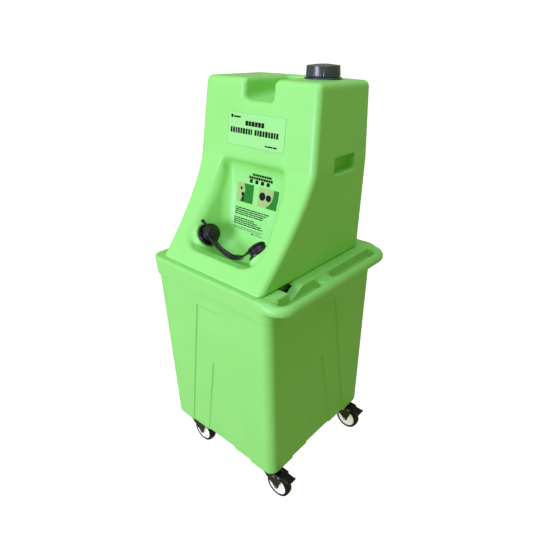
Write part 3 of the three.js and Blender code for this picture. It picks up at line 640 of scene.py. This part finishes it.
def build_tub():
    base = CART_BASE_Z
    soft = PANEL_SOFT
    rows = [base + 24, 240, 380, 500]
    rows += [PANEL_APEX_Z - soft * 2.2, PANEL_APEX_Z - soft, PANEL_APEX_Z, PANEL_APEX_Z + soft, 640, 740]
    rows += [PANEL_TOP_Z - soft * 2.2, PANEL_TOP_Z - soft, PANEL_TOP_Z, PANEL_TOP_Z + soft]
    rows += [866, 905, TUB_TOP_Z - 2]
    loops = [tub_loop(base + 0.2, 60, base), tub_loop(base + 0.2, 18, base), tub_loop(base + 1.2, 9, base)]
    loops += [tub_loop(base + 4, 3, base), tub_loop(base + 9, 0.6, base), tub_loop(base + 14, 0)]
    loops += [tub_loop(z, 0) for z in rows]
    loops += [tub_loop(TUB_TOP_Z, 0.6), tub_loop(TUB_TOP_Z, WALL - 0.6)]
    loops += [tub_loop(z, WALL) for z in reversed(rows)]
    loops += [tub_loop(base + 14, WALL + 4, base), tub_loop(base + 8, WALL + 14, base)]
    loops += [tub_loop(base + 6, 60, base)]
    n = len(loops[0])
    verts = [p for loop in loops for p in loop]
    faces = []
    for k in range(len(loops) - 1):
        for i in range(n):
            j = (i + 1) % n
            faces.append((k * n + i, k * n + j, (k + 1) * n + j, (k + 1) * n + i))
    last = (len(loops) - 1) * n
    faces.append(tuple(range(n))[::-1])
    faces.append(tuple(range(last, last + n)))
    obj = new_object("tub_moulding", verts, faces, CART_GREEN)
    clean(obj)
    return add_smooth_levels(obj, 2)


tub = build_tub()
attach(tub, "cart")
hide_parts("cart_tub")


# ---------------------------------------------------------------- cart top with its push handle
def handle_field(x, y, z):
    centre = HANDLE_X - 400.0
    outline = rect_round(x - centre, y, 400.0, HANDLE_Y, HANDLE_BEND)
    tube = np.sqrt(outline**2 + (z - HANDLE_Z) ** 2) - HANDLE_R
    return cut_round(tube, HANDLE_END_X - x, 2)


def top_field(x, y, z):
    t = ramp(z, CREASE_Z, DECK_Z)
    outer = rect_round(x, y, RIM[0] - 3 + 3 * t, RIM[1] - 6 + 6 * t, CORNER_R + 2)
    body = cut_round(outer, z - DECK_Z, 11)
    body = cut_round(body, CREASE_Z - z, 2.5)
    slot = np.maximum(314.0 - x, np.abs(y) - 286.0)
    keep = cut_round(x - 320.6, z - 927.0, 3)
    body = subtract_round(body, np.maximum(slot, -keep), 5)
    bridge = cut_round(rect_round(y + 32.0, z - 943.0, 34.0, 13.0, 9), slab(x, 300.0, 368.0), 2)
    body = join_round(body, bridge, 15)
    body = join_round(body, handle_field(x, y, z), 13)
    cx, cy = tub_half(900.0)
    room = np.maximum(rect_round(x, y, cx - 2.6, cy - 2.6, CORNER_R - 2), z - (TUB_TOP_Z + 0.6))
    body = subtract_round(body, room, 1)
    k = (z - 934.0) * 0.38
    g = (z - 934.0) * 1.62
    notch = cut_round(slab(y, -214.0 - k, -205.0 + g) * 0.7, 934.0 - z, 3)
    body = subtract_round(body, np.maximum(notch, slab(x, 200.0, 332.0)), 4)
    void = np.maximum(np.maximum(slab(x, 244.0, 274.0), slab(y, -262.0, -110.0)), slab(z, 900.0, 958.0))
    body = subtract_round(body, void, 2)
    opening = rect_round(x, y + 23.0, 238.0, 269.0, 40)
    body = subtract_round(body, opening, 5)
    return cut_round(body, np.abs(y) - 347.0, 2)


top = from_field("cart_top_moulding", top_field, (-332, -356, 878), (400, 356, 974), 3.4, CART_GREEN)
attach(top, "cart")
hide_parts("cart_top")


# ---------------------------------------------------------------- panels of film on the tank
def face_frame(x, z, face, lift=0.0):
    """A point on a wall y = face(z), with the wall's own across, up and outward directions."""
    slope = (face(z + 1.0) - face(z - 1.0)) / 2.0
    up = Vector((0, slope, 1)).normalized()
    out = Vector((1, 0, 0)).cross(up)
    out = -out if out.y > 0 else out
    return Vector((x, float(face(z)), z)) + out * lift, Vector((1, 0, 0)), up, out


def film(name, x, z, face, half_w, half_h, thick, lift, material, corner=6.0, body="tank", soft=0.25):
    """A thin sheet on a flat wall, its outline rounded at the corners, its top edge softened."""
    centre, across, up, _ = face_frame(x, z, face, lift + thick / 2)
    outline = [(a * half_w, b * half_h, corner) for a, b in ((-1, -1), (1, -1), (1, 1), (-1, 1))]
    obj = prism(name, outline, thick, material, centre, across, up, arc=4, bevel=soft)
    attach(obj, body)
    return obj


def mark(name, shapes, x, z, face, thick, lift, material, body="tank"):
    """Several flat outlines printed on one wall, as a single object."""
    centre, across, up, out = face_frame(x, z, face, lift)
    verts, faces = [], []
    for outline in shapes:
        points = smooth_outline(outline, 3)
        n, first = len(points), len(verts)
        for height in (0.0, thick):
            verts += [tuple(centre + across * a + up * b + out * height) for a, b in points]
        faces += [tuple(first + k for k in range(n)), tuple(first + n + k for k in range(n))]
        faces += [(first + k, first + (k + 1) % n, first + n + (k + 1) % n, first + n + k) for k in range(n)]
    obj = new_object(name, verts, faces, material, smooth=False)
    clean(obj)
    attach(obj, body)
    return obj


def rect(cx, cy, w, h, r=0.0):
    left, right, low, high = cx - w / 2, cx + w / 2, cy - h / 2, cy + h / 2
    return [(left, low, r), (right, low, r), (right, high, r), (left, high, r)]


def disc(cx, cy, r, sides=20):
    turns = [2 * math.pi * k / sides for k in range(sides)]
    return [(cx + r * math.cos(a), cy + r * math.sin(a)) for a in turns]


def block_row(left, right, cy, height, gap, sizes, r=1.2):
    """A row of upright blocks that fills a line as wording would, without being any letters."""
    out, x, k = [], left, 0
    while x < right - 3:
        w = min(sizes[k % len(sizes)], right - x)
        out.append(rect(x + w / 2, cy, w, height, r))
        x += w + gap
        k += 1
    return out


def line_rows(left, rights, top, pitch, height):
    out = []
    for k, right in enumerate(rights):
        cy = top - pitch * k
        x, n = left, k
        while x < right - 3:
            w = min(9.0 + 5.0 * ((n * 7) % 4), right - x)
            out.append(rect(x + w / 2, cy, w, height))
            x += w + 2.6
            n += 1
    return out


def build_front_film():
    at = (*SIGN_AT, tank_front)
    plate = film("sign_film", *at, 143.0, 60.0, 1.0, 0.15, FILM, 5)
    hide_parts("label_front")
    frame_line = [rect(0, side * 59.3, 284, 0.8) for side in (1, -1)]
    frame_line += [rect(side * 142.3, 0, 0.8, 118) for side in (-1, 1)]
    mark("sign_outline", frame_line, *at, 0.3, 1.15, INK_EDGE)
    shapes = block_row(-51, 43, 24, 17, 2.4, (14, 12.5, 15, 13, 14, 13.5))
    shapes += block_row(-127, -14, -5, 20, 3.4, (9.5, 11, 8, 10.5, 9, 11.5, 9.5))
    shapes += block_row(-2, 117, -5, 20, 3.4, (10, 8.5, 11, 9.5, 12, 9, 10.5, 8))
    shapes += [disc(-122, 44, 6.5), rect(-95, 43, 36, 6, 2)]
    shapes += line_rows(54, (114,), -46, 1, 5.5)
    mark("sign_print", shapes, *at, 0.35, 1.15, INK)


def build_steps_film():
    at = (*STEPS_AT, bowl_back)
    plate = film("steps_film", *at, 116.0, 122.0, 0.7, 0.1, STEPS_FILM, 5)
    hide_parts("label_instructions")
    shapes = block_row(-32, 66, 114, 8.5, 1.6, (11, 9.5, 12, 10, 11.5))
    shapes += block_row(-50, 74, 102, 9.5, 1.6, (11, 12, 9.5, 10.5, 12.5))
    shapes += [rect(-36 + 29.5 * k, 88, 16, 14, 1) for k in range(4)]
    shapes += line_rows(-106, (74, 62, 50, 44), -27, 8.2, 4.4)
    shapes += line_rows(-109, (2, 20, 46, 50), -68, 8.0, 4.2)
    shapes += line_rows(-109, (52, 40), -104, 6.0, 1.8)
    shapes += [rect(0, -118, 14, 4.5, 1), rect(34, -118, 40, 2.2)]
    mark("steps_print", shapes, *at, 0.3, 0.8, INK)
    pictures = [rect(-61, 36, 88, 76, 1), rect(61, 36, 102, 76, 1)]
    mark("steps_pictures", pictures, *at, 0.25, 0.8, INK_PALE)
    slope = [(-88, -1, 0), (-18, -1, 0), (-18, 73, 0), (-70, 73, 0), (-60, 40, 20)]
    other = [(52, -1, 0), (111, -1, 0), (111, 73, 0), (86, 73, 0), (84, 30, 30)]
    mark("steps_tanks", [slope, other], *at, 0.25, 1.1, INK_GREEN)
    drops = [disc(-74, 30, 8), disc(-84, 52, 6), disc(30, 40, 16), disc(62, 38, 13), rect(-72, 12, 10, 20, 4)]
    mark("steps_shapes", drops, *at, 0.25, 1.3, INK)


STEPS_FILM = printed_film("steps_film_green", (0.30, 0.80, 0.15), 0.4)
build_front_film()
build_steps_film()


# ---------------------------------------------------------------- filler neck and cap
def at_filler(height):
    return (FILLER_AT[0], FILLER_AT[1], height)


def build_filler():
    z = TANK_Z1 + 0.3
    neck = lathe("filler_collar", [
        (41, z - 30, 0.5), (45.7, z - 30, 0.5), (45.7, z, 0), (68.5, z, 0.6), (69, z + 2.5, 1.5),
        (66.5, z + 5.5, 1.5), (58, z + 7.4, 1.5), (50.5, z + 8, 1), (50, z + 24, 1), (41.5, z + 24, 1),
    ], GREY_PLASTIC, at_filler(0), segments=96)
    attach(neck, "tank")
    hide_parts("filler_neck")
    low = TANK_Z1 + 8.6

    def ribbed(r, h, a):
        if r < 57:
            return r
        lobe = float(ramp(math.cos(8 * a), 0.55, 0.72)) * 1.7
        fine = 0.30 * math.cos(64 * a)
        return r + (lobe + fine) * (1.0 - float(ramp(h, low + 32.5, low + 36)))

    cap = lathe("filler_lid", [
        (0, TANK_Z1 + 28, 0), (50.8, TANK_Z1 + 28, 1), (50.8, low, 0.8), (60.0, low, 0.8), (60.3, low + 4, 1),
        (59.8, low + 36.4, 1.0), (57.6, low + 37.0, 0.8), (56.2, low + 36.4, 0.8), (44, low + 38.6, 3),
        (24, low + 41.0, 6), (0, low + 41.8, 0),
    ], GREY_PLASTIC, at_filler(0), segments=256, wobble=ribbed)
    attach(cap, "cap")
    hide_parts("fill_cap")


build_filler()


# ---------------------------------------------------------------- nozzles, caps and pull strap
def in_disc(side):
    """The cap disc's down-and-inward direction and its forward direction."""
    n = nozzle_axis(side)
    inward = n.cross(Vector((0, 1, 0))).normalized()
    inward = -inward if inward.z > 0 else inward
    forward = n.cross(inward).normalized()
    return inward, (-forward if forward.y > 0 else forward)


TAB_TURN = math.radians(20)
STRAP_END_TURN = math.radians(28)
STRAP_LOW = Vector((8.0, -199.0, 1003.0))


def build_nozzle(side, word):
    axis = nozzle_axis(side)
    base = nozzle_point(side)
    cup = lathe("nozzle_cup_" + word, [
        (7, -22, 0.5), (11.7, -22, 0.5), (11.7, 0.3, 0), (43.0, 0.3, 1), (45.3, 2.5, 1.5), (45.5, 10, 2),
        (44.0, 13, 1.2), (41.0, 13, 1.2), (39.8, 9, 2), (37.4, 8, 1.5), (35.6, 12, 2), (34.2, 26, 1.5),
        (33.8, 33, 1.2), (31.5, 35.4, 1.2),
        (27, 35.4, 1), (26, 21, 1), (7, 20, 0.5),
    ], BLACK_PLASTIC, base, axis, segments=96)
    rose = []
    for ring, count in ((10.0, 6), (19.0, 12)):
        rose += [(ring, 2 * math.pi * k / count) for k in range(count)]
    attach(cup, "tank")
    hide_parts("nozzle_" + word)
    inward, forward = in_disc(side)
    for k, (r, a) in enumerate(rose):
        jet_at = base + axis * 20.2 + (inward * math.cos(a) + forward * math.sin(a)) * r
        jet = lathe(f"nozzle_jet_{word}_{k:02d}", [
            (1.0, 0, 0), (2.6, 0, 0.4), (2.3, 2.2, 0.6), (1.2, 2.4, 0.3),
        ], BLACK_PLASTIC, jet_at, axis, segments=14, arc=2)
        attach(jet, "tank")


def build_cap(side, word):
    axis = nozzle_axis(side)
    cap = lathe("cap_disc_" + word, [
        (0, 36, 0), (33, 36, 1), (35.3, 37.6, 1.5), (35.6, 41, 2), (33.6, 45, 2), (29.6, 46.6, 1.2),
        (28.4, 45.2, 0.8),
        (27.0, 45.6, 0.8), (25.5, 47.4, 1.5), (16, 49.8, 4), (0, 50.9, 0),
    ], RUBBER, nozzle_point(side), axis, segments=96)
    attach(cap, "cap_" + word)
    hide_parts("nozzle_cap_" + word)
    inward, forward = in_disc(side)
    outer = (forward * math.sin(TAB_TURN) - inward * math.cos(TAB_TURN)).normalized()
    reach = outer if side < 0 else (inward * 0.5 - forward * 0.87).normalized()
    across = axis.cross(reach).normalized()
    half = [(30, 5.0, 2), (50, 4.2, 2), (51, 8, 1.5), (63, 8, 3)]
    stem = [(a, -b, r) for a, b, r in half] + half[::-1]
    tab = prism("cap_tab_" + word, stem, 4.2, RUBBER, nozzle_point(side, 40.5), reach, across, arc=4, bevel=1.2)
    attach(tab, "cap_" + word)


def strap_section(width, thick, rim):
    """A flat band with a raised bead along each edge."""
    w, t = width / 2, thick / 2
    top = [(-w, -t * 0.4), (-w, t * 0.8), (-w + 1.0, t + rim), (-w + 3.0, t + rim), (-w + 4.6, t * 0.75)]
    low = [(w * 0.5, -t), (0, -t), (-w * 0.5, -t), (-w + 1.2, -t)]
    return top + [(0, t * 0.7)] + [(-a, b) for a, b in reversed(top)] + [(w - 1.2, -t)] + low


def build_strap_half(side, word):
    inward, forward = in_disc(side)
    axis = nozzle_axis(side)
    hub = nozzle_point(side, 40.0)
    run = (inward * math.cos(STRAP_END_TURN) + forward * math.sin(STRAP_END_TURN)).normalized()
    start, end = STRAP_LOW, hub + run * 33.0
    tangent0 = Vector((side, 0, 0)) * (end - start).length * 0.95
    tangent1 = -run * (end - start).length * 0.75
    flat0 = Vector((0, -0.4, 0.92)).normalized()
    path = []
    steps = 26
    for i in range(steps + 1):
        s = i / steps
        h = (2 * s**3 - 3 * s**2 + 1, s**3 - 2 * s**2 + s, -2 * s**3 + 3 * s**2, s**3 - s**2)
        p = start * h[0] + tangent0 * h[1] + end * h[2] + tangent1 * h[3]
        g = (6 * s**2 - 6 * s, 3 * s**2 - 4 * s + 1, -6 * s**2 + 6 * s, 3 * s**2 - 2 * s)
        t = (start * g[0] + tangent0 * g[1] + end * g[2] + tangent1 * g[3]).normalized()
        up = (flat0 * (1 - s) + axis * s).normalized()
        across = t.cross(up).normalized()
        up = across.cross(t).normalized()
        path.append((p, across, up, s))
    last = path[-1]
    for k in range(1, 5):
        path.append((last[0] - run * (5.0 * k), last[1], last[2], 1 + 0.25 * k))

    def section(s):
        base = 24.0 + 6.0 * float(ramp(s, 0.62, 0.9)) ** 2 + 16.0 * float(ramp(s, 0.84, 1.0)) ** 2
        width = base * (1.0 if s <= 1 else math.cos((s - 1) * 1.25) ** 0.5)
        return strap_section(width, 4.6, 1.1 * (1 - float(ramp(s, 0.9, 1.1))))

    band = sweep("strap_" + word, path, section, RUBBER)
    add_smooth_levels(band, 2)
    blend_from = to_frame(np.array(start + (end - start) * 0.05))
    blend_to = to_frame(np.array(start + (end - start) * 0.9))
    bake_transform(band)
    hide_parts("pull_strap")


for number, word in ((-1, "left"), (1, "right")):
    build_nozzle(number, word)
    build_cap(number, word)
    build_strap_half(number, word)


# ---------------------------------------------------------------- drain, screws and waste plug
def build_drain():
    z = BOWL_FLOOR_Z + 0.3
    flange = lathe("strainer_rim", [
        (16.5, z - 8, 0.3), (17, z - 8, 0.3), (17, z, 0.3), (24, z, 0.4), (24.2, z + 1.6, 0.8),
        (21.5, z + 3, 0.8), (17, z + 2.2, 0.6), (15.6, z + 1.2, 0.4),
    ], DULL_STEEL, (*DRAIN_AT, 0), segments=64)
    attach(flange, "tank")
    for k in range(3):
        a = math.pi * k / 3
        u = (math.cos(a), math.sin(a), 0)
        bar = prism(f"strainer_bar_{k}", rect(0, 0, 32.6, 2.4, 0.5), 1.6, DULL_STEEL,
                    (*DRAIN_AT, z + 1.4), u, (-u[1], u[0], 0), bevel=0.4)
        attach(bar, "tank")
    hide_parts("bowl_strainer")
    low = TANK_Z0 - 62
    spout = lathe("drain_tail", [
        (12, low, 0.6), (15.4, low, 1.2), (15.8, low + 3, 1), (14.8, low + 6, 1), (15.8, low + 9, 1),
        (14.8, low + 12, 1), (15.8, low + 15, 1), (15.4, low + 20, 1), (16.6, low + 26, 1),
        (16.6, BOWL_FLOOR_Z - 10, 0.4),
        (12, BOWL_FLOOR_Z - 10, 0.4),
    ], BLACK_PLASTIC, (*DRAIN_AT, 0), segments=48)
    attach(spout, "tank")
    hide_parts("drain_spout")


def build_screw(side, end, name):
    head = lathe("screw_" + name, [
        (0, -13, 0), (2.1, -12, 0.5), (2.1, 0.3, 0), (6, 0.3, 0.3), (6.1, 1.0, 0.4), (4.6, 3.0, 1.2),
        (1.9, 3.7, 0.5), (1.7, 2.4, 0.2), (0, 2.4, 0),
    ], STEEL, (side * 321.8, end * 262.0, 905.0), (side, 0, 0), segments=36)
    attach(head, "cart")
    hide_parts("rim_screw_" + name)


def build_waste_plug():
    box_low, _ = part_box("waste_plug_boss")
    at = (0.0, box_low[1] * 1000.0 + 16.0, PLUG_Z)
    boss = lathe("waste_boss", [
        (18, -16, 0.4), (22, -16, 0.8), (22, 1, 0), (34, 1, 0.6), (34.2, 3.5, 1), (31, 7, 1.2), (18, 7, 0.5),
    ], BLACK_PLASTIC, at, (0, 1, 0), segments=72)
    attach(boss, "cart")
    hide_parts("waste_plug_boss")

    def grooved(r, h, a):
        return r if r < 27 else r - 0.7 * max(0.0, math.cos(30 * a))

    plug = lathe("waste_stopper", [
        (0, -10, 0), (17.4, -10, 0.8), (17.4, 9.8, 0.3), (27.6, 9.8, 0.6), (28, 11.5, 0.8), (28, 16, 1),
        (24.5, 20, 1.6), (0, 20.6, 0),
    ], BLACK_PLASTIC, at, (0, 1, 0), segments=180, wobble=grooved)
    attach(plug, "plug")
    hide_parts("waste_plug")
    grip = prism("waste_grip", [(-19, -4, 2), (19, -4, 2), (19, 4, 2), (-19, 4, 2)], 11, BLACK_PLASTIC,
                 (0, at[1] + 25, PLUG_Z), (1, 0, 0), (0, 0, 1), bevel=1.6)
    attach(grip, "plug")


build_drain()
for side in (-1, 1):
    for end in (-1, 1):
        build_screw(side, end, f"{'left' if side < 0 else 'right'}_{'front' if end < 0 else 'rear'}")
build_waste_plug()
for name in ("fill_cap_seal", "waste_plug_seal", "filler_nut"):
    carried = frame["nodes"][name]
    carried.data.materials.clear()
    carried.data.materials.append(GREY_PLASTIC if name == "filler_nut" else SEAL)
    add_bevel(carried, 0.4)


# ---------------------------------------------------------------- casters
def caster_tag(sx, sy):
    return f"{'front' if sy < 0 else 'rear'}_{'left' if sx < 0 else 'right'}"


def plate_parts(tag, x, y):
    z = CASTER_TOP
    plate = prism("plate_" + tag, rect(0, 0, 84, 66, 9), 4, ZINC,
                  (x, y, z - 2), (1, 0, 0), (0, 1, 0), bevel=0.8)
    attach(plate, "cart")
    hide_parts("caster_plate_" + tag)
    for k, (dx, dy) in enumerate(((-33, -24), (33, -24), (33, 24), (-33, 24))):
        head = lathe(f"plate_nut_{tag}_{k}", [
            (0, -9, 0), (2.6, -9, 0.6), (2.6, -6, 0), (6.0, -6, 0.6), (6.0, 0, 0.3), (0, 0, 0),
        ], ZINC, (x + dx, y + dy, z - 4), segments=6, arc=2)
        add_bevel(head, 0.5, 2, 50)
        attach(head, "cart")


def race_parts(tag, x, y):
    z = RACE_Z
    race = lathe("race_" + tag, [
        (0, z - 9, 0), (5.9, z - 9, 0.8), (5.9, z, 0.2), (23, z, 1), (29.5, z + 2.2, 1.5),
        (31, z + 5, 2), (29, z + 8.5, 2),
        (26, z + 10, 1.5), (27, z + 13.4, 0.6), (0, z + 13.4, 0),
    ], BLACK_COAT, (x, y, 0), segments=64)
    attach(race, "cart")
    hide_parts("caster_race_" + tag)


def fork_field(x, y, z):
    """A pressed fork: two broad cheeks that narrow to the axle, joined by a domed crown and a rear web."""
    run = WHEEL_Z - 4.0
    rear = ((TRAIL - 9.0) + (z - run) * -1.36 - x) * 0.59
    rear = cut_round(rear, -46.0 - x, 12)
    ahead = (x - (TRAIL + 9.0) - (z - run) * 0.40) * 0.93
    ahead = np.maximum(ahead, x - 88.0)
    tip = np.sqrt((x - TRAIL) ** 2 + (z - WHEEL_Z) ** 2) - 12.0
    blade = np.maximum(np.maximum(rear, ahead), WHEEL_Z - z)
    shape = cut_round(join_round(blade, tip, 5), z - FORK_Z, 3)
    cheek = cut_round(shape, slab(np.abs(y), 22.0, 26.0), 1.4)
    dish = np.abs(shape + 9.0) - 2.2
    cheek = subtract_round(cheek, cut_round(dish, 25.2 - np.abs(y), 0.8), 0.8)
    crown = cut_round(cut_round(rect_round(x - 2.0, y, 46.0, 26.0, 16), z - FORK_Z, 2), 103.7 - z, 1)
    web = cut_round(cut_round(slab(x, -46.0, -42.0), slab(z, 98.0, FORK_Z - 1), 1.5), np.abs(y) - 25, 1.5)
    body = join_round(join_round(cheek, crown, 3), web, 3)
    kingpin = np.sqrt(x * x + y * y) - 6.3
    body = subtract_round(body, kingpin, 0.5)
    axle = np.sqrt((x - TRAIL) ** 2 + (z - WHEEL_Z) ** 2) - 6.3
    body = subtract_round(body, axle, 0.4)
    pin = np.sqrt((x - PEDAL_AT[0]) ** 2 + (z - PEDAL_AT[1]) ** 2) - 3.3
    return subtract_round(body, pin, 0.3)


def pedal_field(x, y, z):
    """A foot lever: a hood over the wheel with turned-down sides and a raised toe bar at its end."""
    px, pz = PEDAL_AT
    run = x - px
    mid = pz + 2.0 - 0.0012 * np.maximum(run, 0) ** 2
    hood = cut_round(np.abs(z - mid) - 2.6, slab(run, -5.0, 54.0), 2)
    hood = cut_round(hood, np.abs(y) - 20.0, 2)
    skirt = cut_round(slab(np.abs(y), 16.6, 20.0), slab(run, 1.0, 46.0), 1)
    skirt = cut_round(skirt, np.abs(z - mid + 3.0) - 5.0, 1.5)
    bar = np.sqrt((run - 53.0) ** 2 + ((z - pz + 0.5) * 0.8) ** 2) - 4.6
    bar = cut_round(bar, np.abs(y) - 21.0, 2)
    ribs = np.maximum(np.abs(z - mid - 3.0) - 1.0, slab(run, 12.0, 46.0))
    ribs = cut_round(cut_round(ribs, np.abs(((run + 3.0) % 6.0) - 3.0) - 1.2, 0.8), np.abs(y) - 15.0, 1)
    body = join_round(join_round(hood, skirt, 1.5), bar, 3)
    body = join_round(body, ribs, 0.8)
    sleeve = cut_round(np.sqrt(run * run + (z - pz) ** 2) - 5.2, np.abs(y) - 20.0, 1)
    pin = np.maximum(np.sqrt(run * run + (z - pz) ** 2) - 2.9, np.abs(y) - 26.0)
    return np.minimum(join_round(body, sleeve, 2), pin)


CASTER_TOP = 129.7
RACE_Z = 112.0
FORK_Z = 111.7
PEDAL_AT = (74.0, 104.0)
RIVETS_AT = (PEDAL_AT, (48.0, 96.0), (-34.0, 104.0))
CASTER_PIECES = (  # piece, moving body, CAD node and material slot
    ("fork", "swivel", "caster_fork", "black_steel"),
    ("axle", "swivel", "caster_axle", "steel"),
    ("hub", "wheel", "wheel_hub", "hub_white"),
    ("tyre", "wheel", "wheel_tyre", "tyre_black"),
    ("pedal", "brake", "brake_pedal", "black_fitting"),
)


def shared(name, mesh, x, y, body, node):
    """One of the four alike casters' pieces, on a mesh that all four share."""
    obj = bpy.data.objects.new(name, mesh)
    bpy.context.scene.collection.objects.link(obj)
    obj.location = (x * 0.001, y * 0.001, 0)
    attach(obj, body)
    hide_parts(node)


def mesh_only(obj):
    """Keeps the mesh of a template object, its modifiers applied, and drops the object."""
    graph = bpy.context.evaluated_depsgraph_get()
    mesh = bpy.data.meshes.new_from_object(obj.evaluated_get(graph))
    bpy.data.objects.remove(obj)
    return mesh


def mirrored(half, middle=()):
    """An outline that is alike on both sides of its middle."""
    return [*half, *middle, *((r, -h, corner) for r, h, corner in reversed(half))]


def caster_templates():
    side = (0, 1, 0)
    hub_at = (TRAIL, 0, WHEEL_Z)
    out = {}
    fork = from_field("fork_shape", fork_field, (-50, -29, 24), (92, 29, 115), 1.6, BLACK_COAT)
    out["fork"] = mesh_only(fork)
    pedal = from_field("pedal_shape", pedal_field, (66, -29, 78), (136, 29, 114), 1.4, BLACK_PLASTIC)
    out["pedal"] = mesh_only(pedal)
    hub = lathe("hub_shape", mirrored([
        (6.3, -19, 0.5), (13.4, -19, 1.2), (14.2, -14, 1), (18, -9.6, 2.5), (29, -8.0, 3), (35, -9.4, 2),
        (39, -15.0, 1.5), (43.5, -15.8, 1), (45, -14.6, 0.8),
    ]), HUB_WHITE, hub_at, side, segments=72)
    out["hub"] = mesh_only(hub)

    def tread(r, h, a):
        return r - 0.5 if r > 57.0 and abs(abs(h) - 6.0) < 0.9 else r

    tyre = lathe("tyre_shape", mirrored([
        (45.4, -17.2, 0.6), (51.5, -18, 2), (55.3, -16, 2.5), (57.4, -10, 2), (57.8, -6.8, 0.3),
        (57.1, -6, 0.3), (57.9, -5.2, 0.3),
    ], middle=[(58, 0, 3)]), TYRE, hub_at, side, segments=96, wobble=tread)
    out["tyre"] = mesh_only(tyre)
    axle = lathe("axle_shape", [
        (0, -30.2, 0), (3.4, -30.2, 0.8), (3.6, -29.6, 0.3), (8.6, -29.6, 0.9), (9, -26.4, 0.4), (6, -26.2, 0.2),
        (6, 26.2, 0.2), (9, 26.4, 0.4), (8.6, 30.0, 0.9), (0, 30.0, 0),
    ], STEEL, hub_at, side, segments=6, arc=2)
    out["axle"] = mesh_only(add_bevel(axle, 0.5, 2, 40))
    rivet = lathe("rivet_shape", [
        (0, -28.6, 0), (3.2, -28.2, 1), (4.4, -26.4, 0.4), (4.4, -25.8, 0.2), (0, -25.8, 0),
    ], STEEL, (0, 0, 0), side, segments=24)
    out["rivet"] = mesh_only(rivet)
    return out


def build_casters():
    parts = caster_templates()
    for sx in (-1, 1):
        for sy in (-1, 1):
            tag = caster_tag(sx, sy)
            x, y = sx * CASTER_AT[0], sy * CASTER_AT[1]
            plate_parts(tag, x, y)
            race_parts(tag, x, y)
            for part, body, node, slot_name in CASTER_PIECES:
                shared(f"{part}_{tag}", parts[part], x, y, f"{body}_{tag}", f"{node}_{tag}")
            for k, (rx, rz) in enumerate(RIVETS_AT):
                rivet = bpy.data.objects.new(f"rivet_{tag}_{k}", parts["rivet"])
                bpy.context.scene.collection.objects.link(rivet)
                rivet.location = ((x + rx) * 0.001, y * 0.001, rz * 0.001)
                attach(rivet, "swivel_" + tag)


build_casters()


# ---------------------------------------------------------------- floor, light and camera
def build_stage():
    """One white sweep: a wide floor that turns up into a far wall all round."""
    sides, verts, faces = 96, [], []
    for radius, height in ((0.5, 0), (8, 0), (40, 0), (52, 1.5), (58, 6), (60, 14), (60, 110)):
        for k in range(sides):
            a = 2 * math.pi * k / sides
            verts.append((radius * math.cos(a), radius * math.sin(a), height))
    for row in range(6):
        for k in range(sides):
            m = (k + 1) % sides
            faces.append((row * sides + k, (row + 1) * sides + k, (row + 1) * sides + m, row * sides + m))
    faces.append(tuple(range(sides)))
    floor = new_object("floor", verts, faces, FLOOR, in_frame=True)
    floor.visible_diffuse = False
    floor.visible_glossy = False
    for name, place, aim, size, power, colour in LIGHTS:
        light = bpy.data.lights.new(name, "AREA")
        light.shape = "RECTANGLE"
        light.size, light.size_y = size
        light.energy = power
        light.color = colour
        obj = bpy.data.objects.new(name, light)
        bpy.context.scene.collection.objects.link(obj)
        obj.location = place
        obj.rotation_euler = (Vector(aim) - Vector(place)).to_track_quat("-Z", "Y").to_euler()
    world = bpy.data.worlds.new("studio")
    bpy.context.scene.world = world
    world.use_nodes = True
    world.node_tree.nodes["Background"].inputs["Color"].default_value = (*WORLD_TINT, 1)
    world.node_tree.nodes["Background"].inputs["Strength"].default_value = WORLD_LIGHT


def floor_material():
    mat, tree, bsdf = node_material("floor_pale")
    cloud = ranged(tree, noise(tree, 1.5, 3), 0.3, 0.7, 0, 1)
    tree.links.new(mixed(tree, cloud, (0.48, 0.48, 0.48), (0.52, 0.52, 0.52)), bsdf.inputs["Base Color"])
    bsdf.inputs["Roughness"].default_value = 0.9
    bsdf.inputs["Emission Color"].default_value = (1, 1, 1, 1)
    bsdf.inputs["Emission Strength"].default_value = 0.92
    return mat


def build_camera():
    yaw, pitch, roll = (math.radians(a) for a in CAMERA_TURN)
    ahead = Vector((-math.sin(yaw) * math.cos(pitch), math.cos(yaw) * math.cos(pitch), -math.sin(pitch)))
    right = Vector((math.cos(yaw), math.sin(yaw), 0))
    up = right.cross(ahead)
    tilted = right * math.cos(roll) + up * math.sin(roll)
    raised = up * math.cos(roll) - right * math.sin(roll)
    data = bpy.data.cameras.new("camera")
    data.sensor_width = 36.0
    data.lens = 31.13
    data.shift_x, data.shift_y = -0.0239, -0.0110
    data.clip_end = 200
    obj = bpy.data.objects.new("camera", data)
    bpy.context.scene.collection.objects.link(obj)
    turn = Matrix((tilted, raised, -ahead)).transposed().to_4x4()
    obj.matrix_world = Matrix.Translation(Vector(CAMERA_AT)) @ turn
    bpy.context.scene.camera = obj


CAMERA_AT = (1.1951, -1.3130, 1.7925)
CAMERA_TURN = (40.6, 26.3, 0.1)
WORLD_LIGHT = 0.34
WORLD_TINT = (1.0, 1.0, 0.60)
LIGHTS = (
    ("key", (-0.7, -5.0, 1.5), (0, 0, 0.85), (1.5, 2.2), 183.0, (1.03, 1.0, 2.15)),
    ("top", (0.2, -0.6, 4.2), (0, 0, 0.8), (3.0, 3.0), 48.0, (1.05, 1.0, 2.2)),
)
FLOOR = floor_material()
build_stage()
build_camera()
bpy.context.scene.view_settings.view_transform = "Standard"
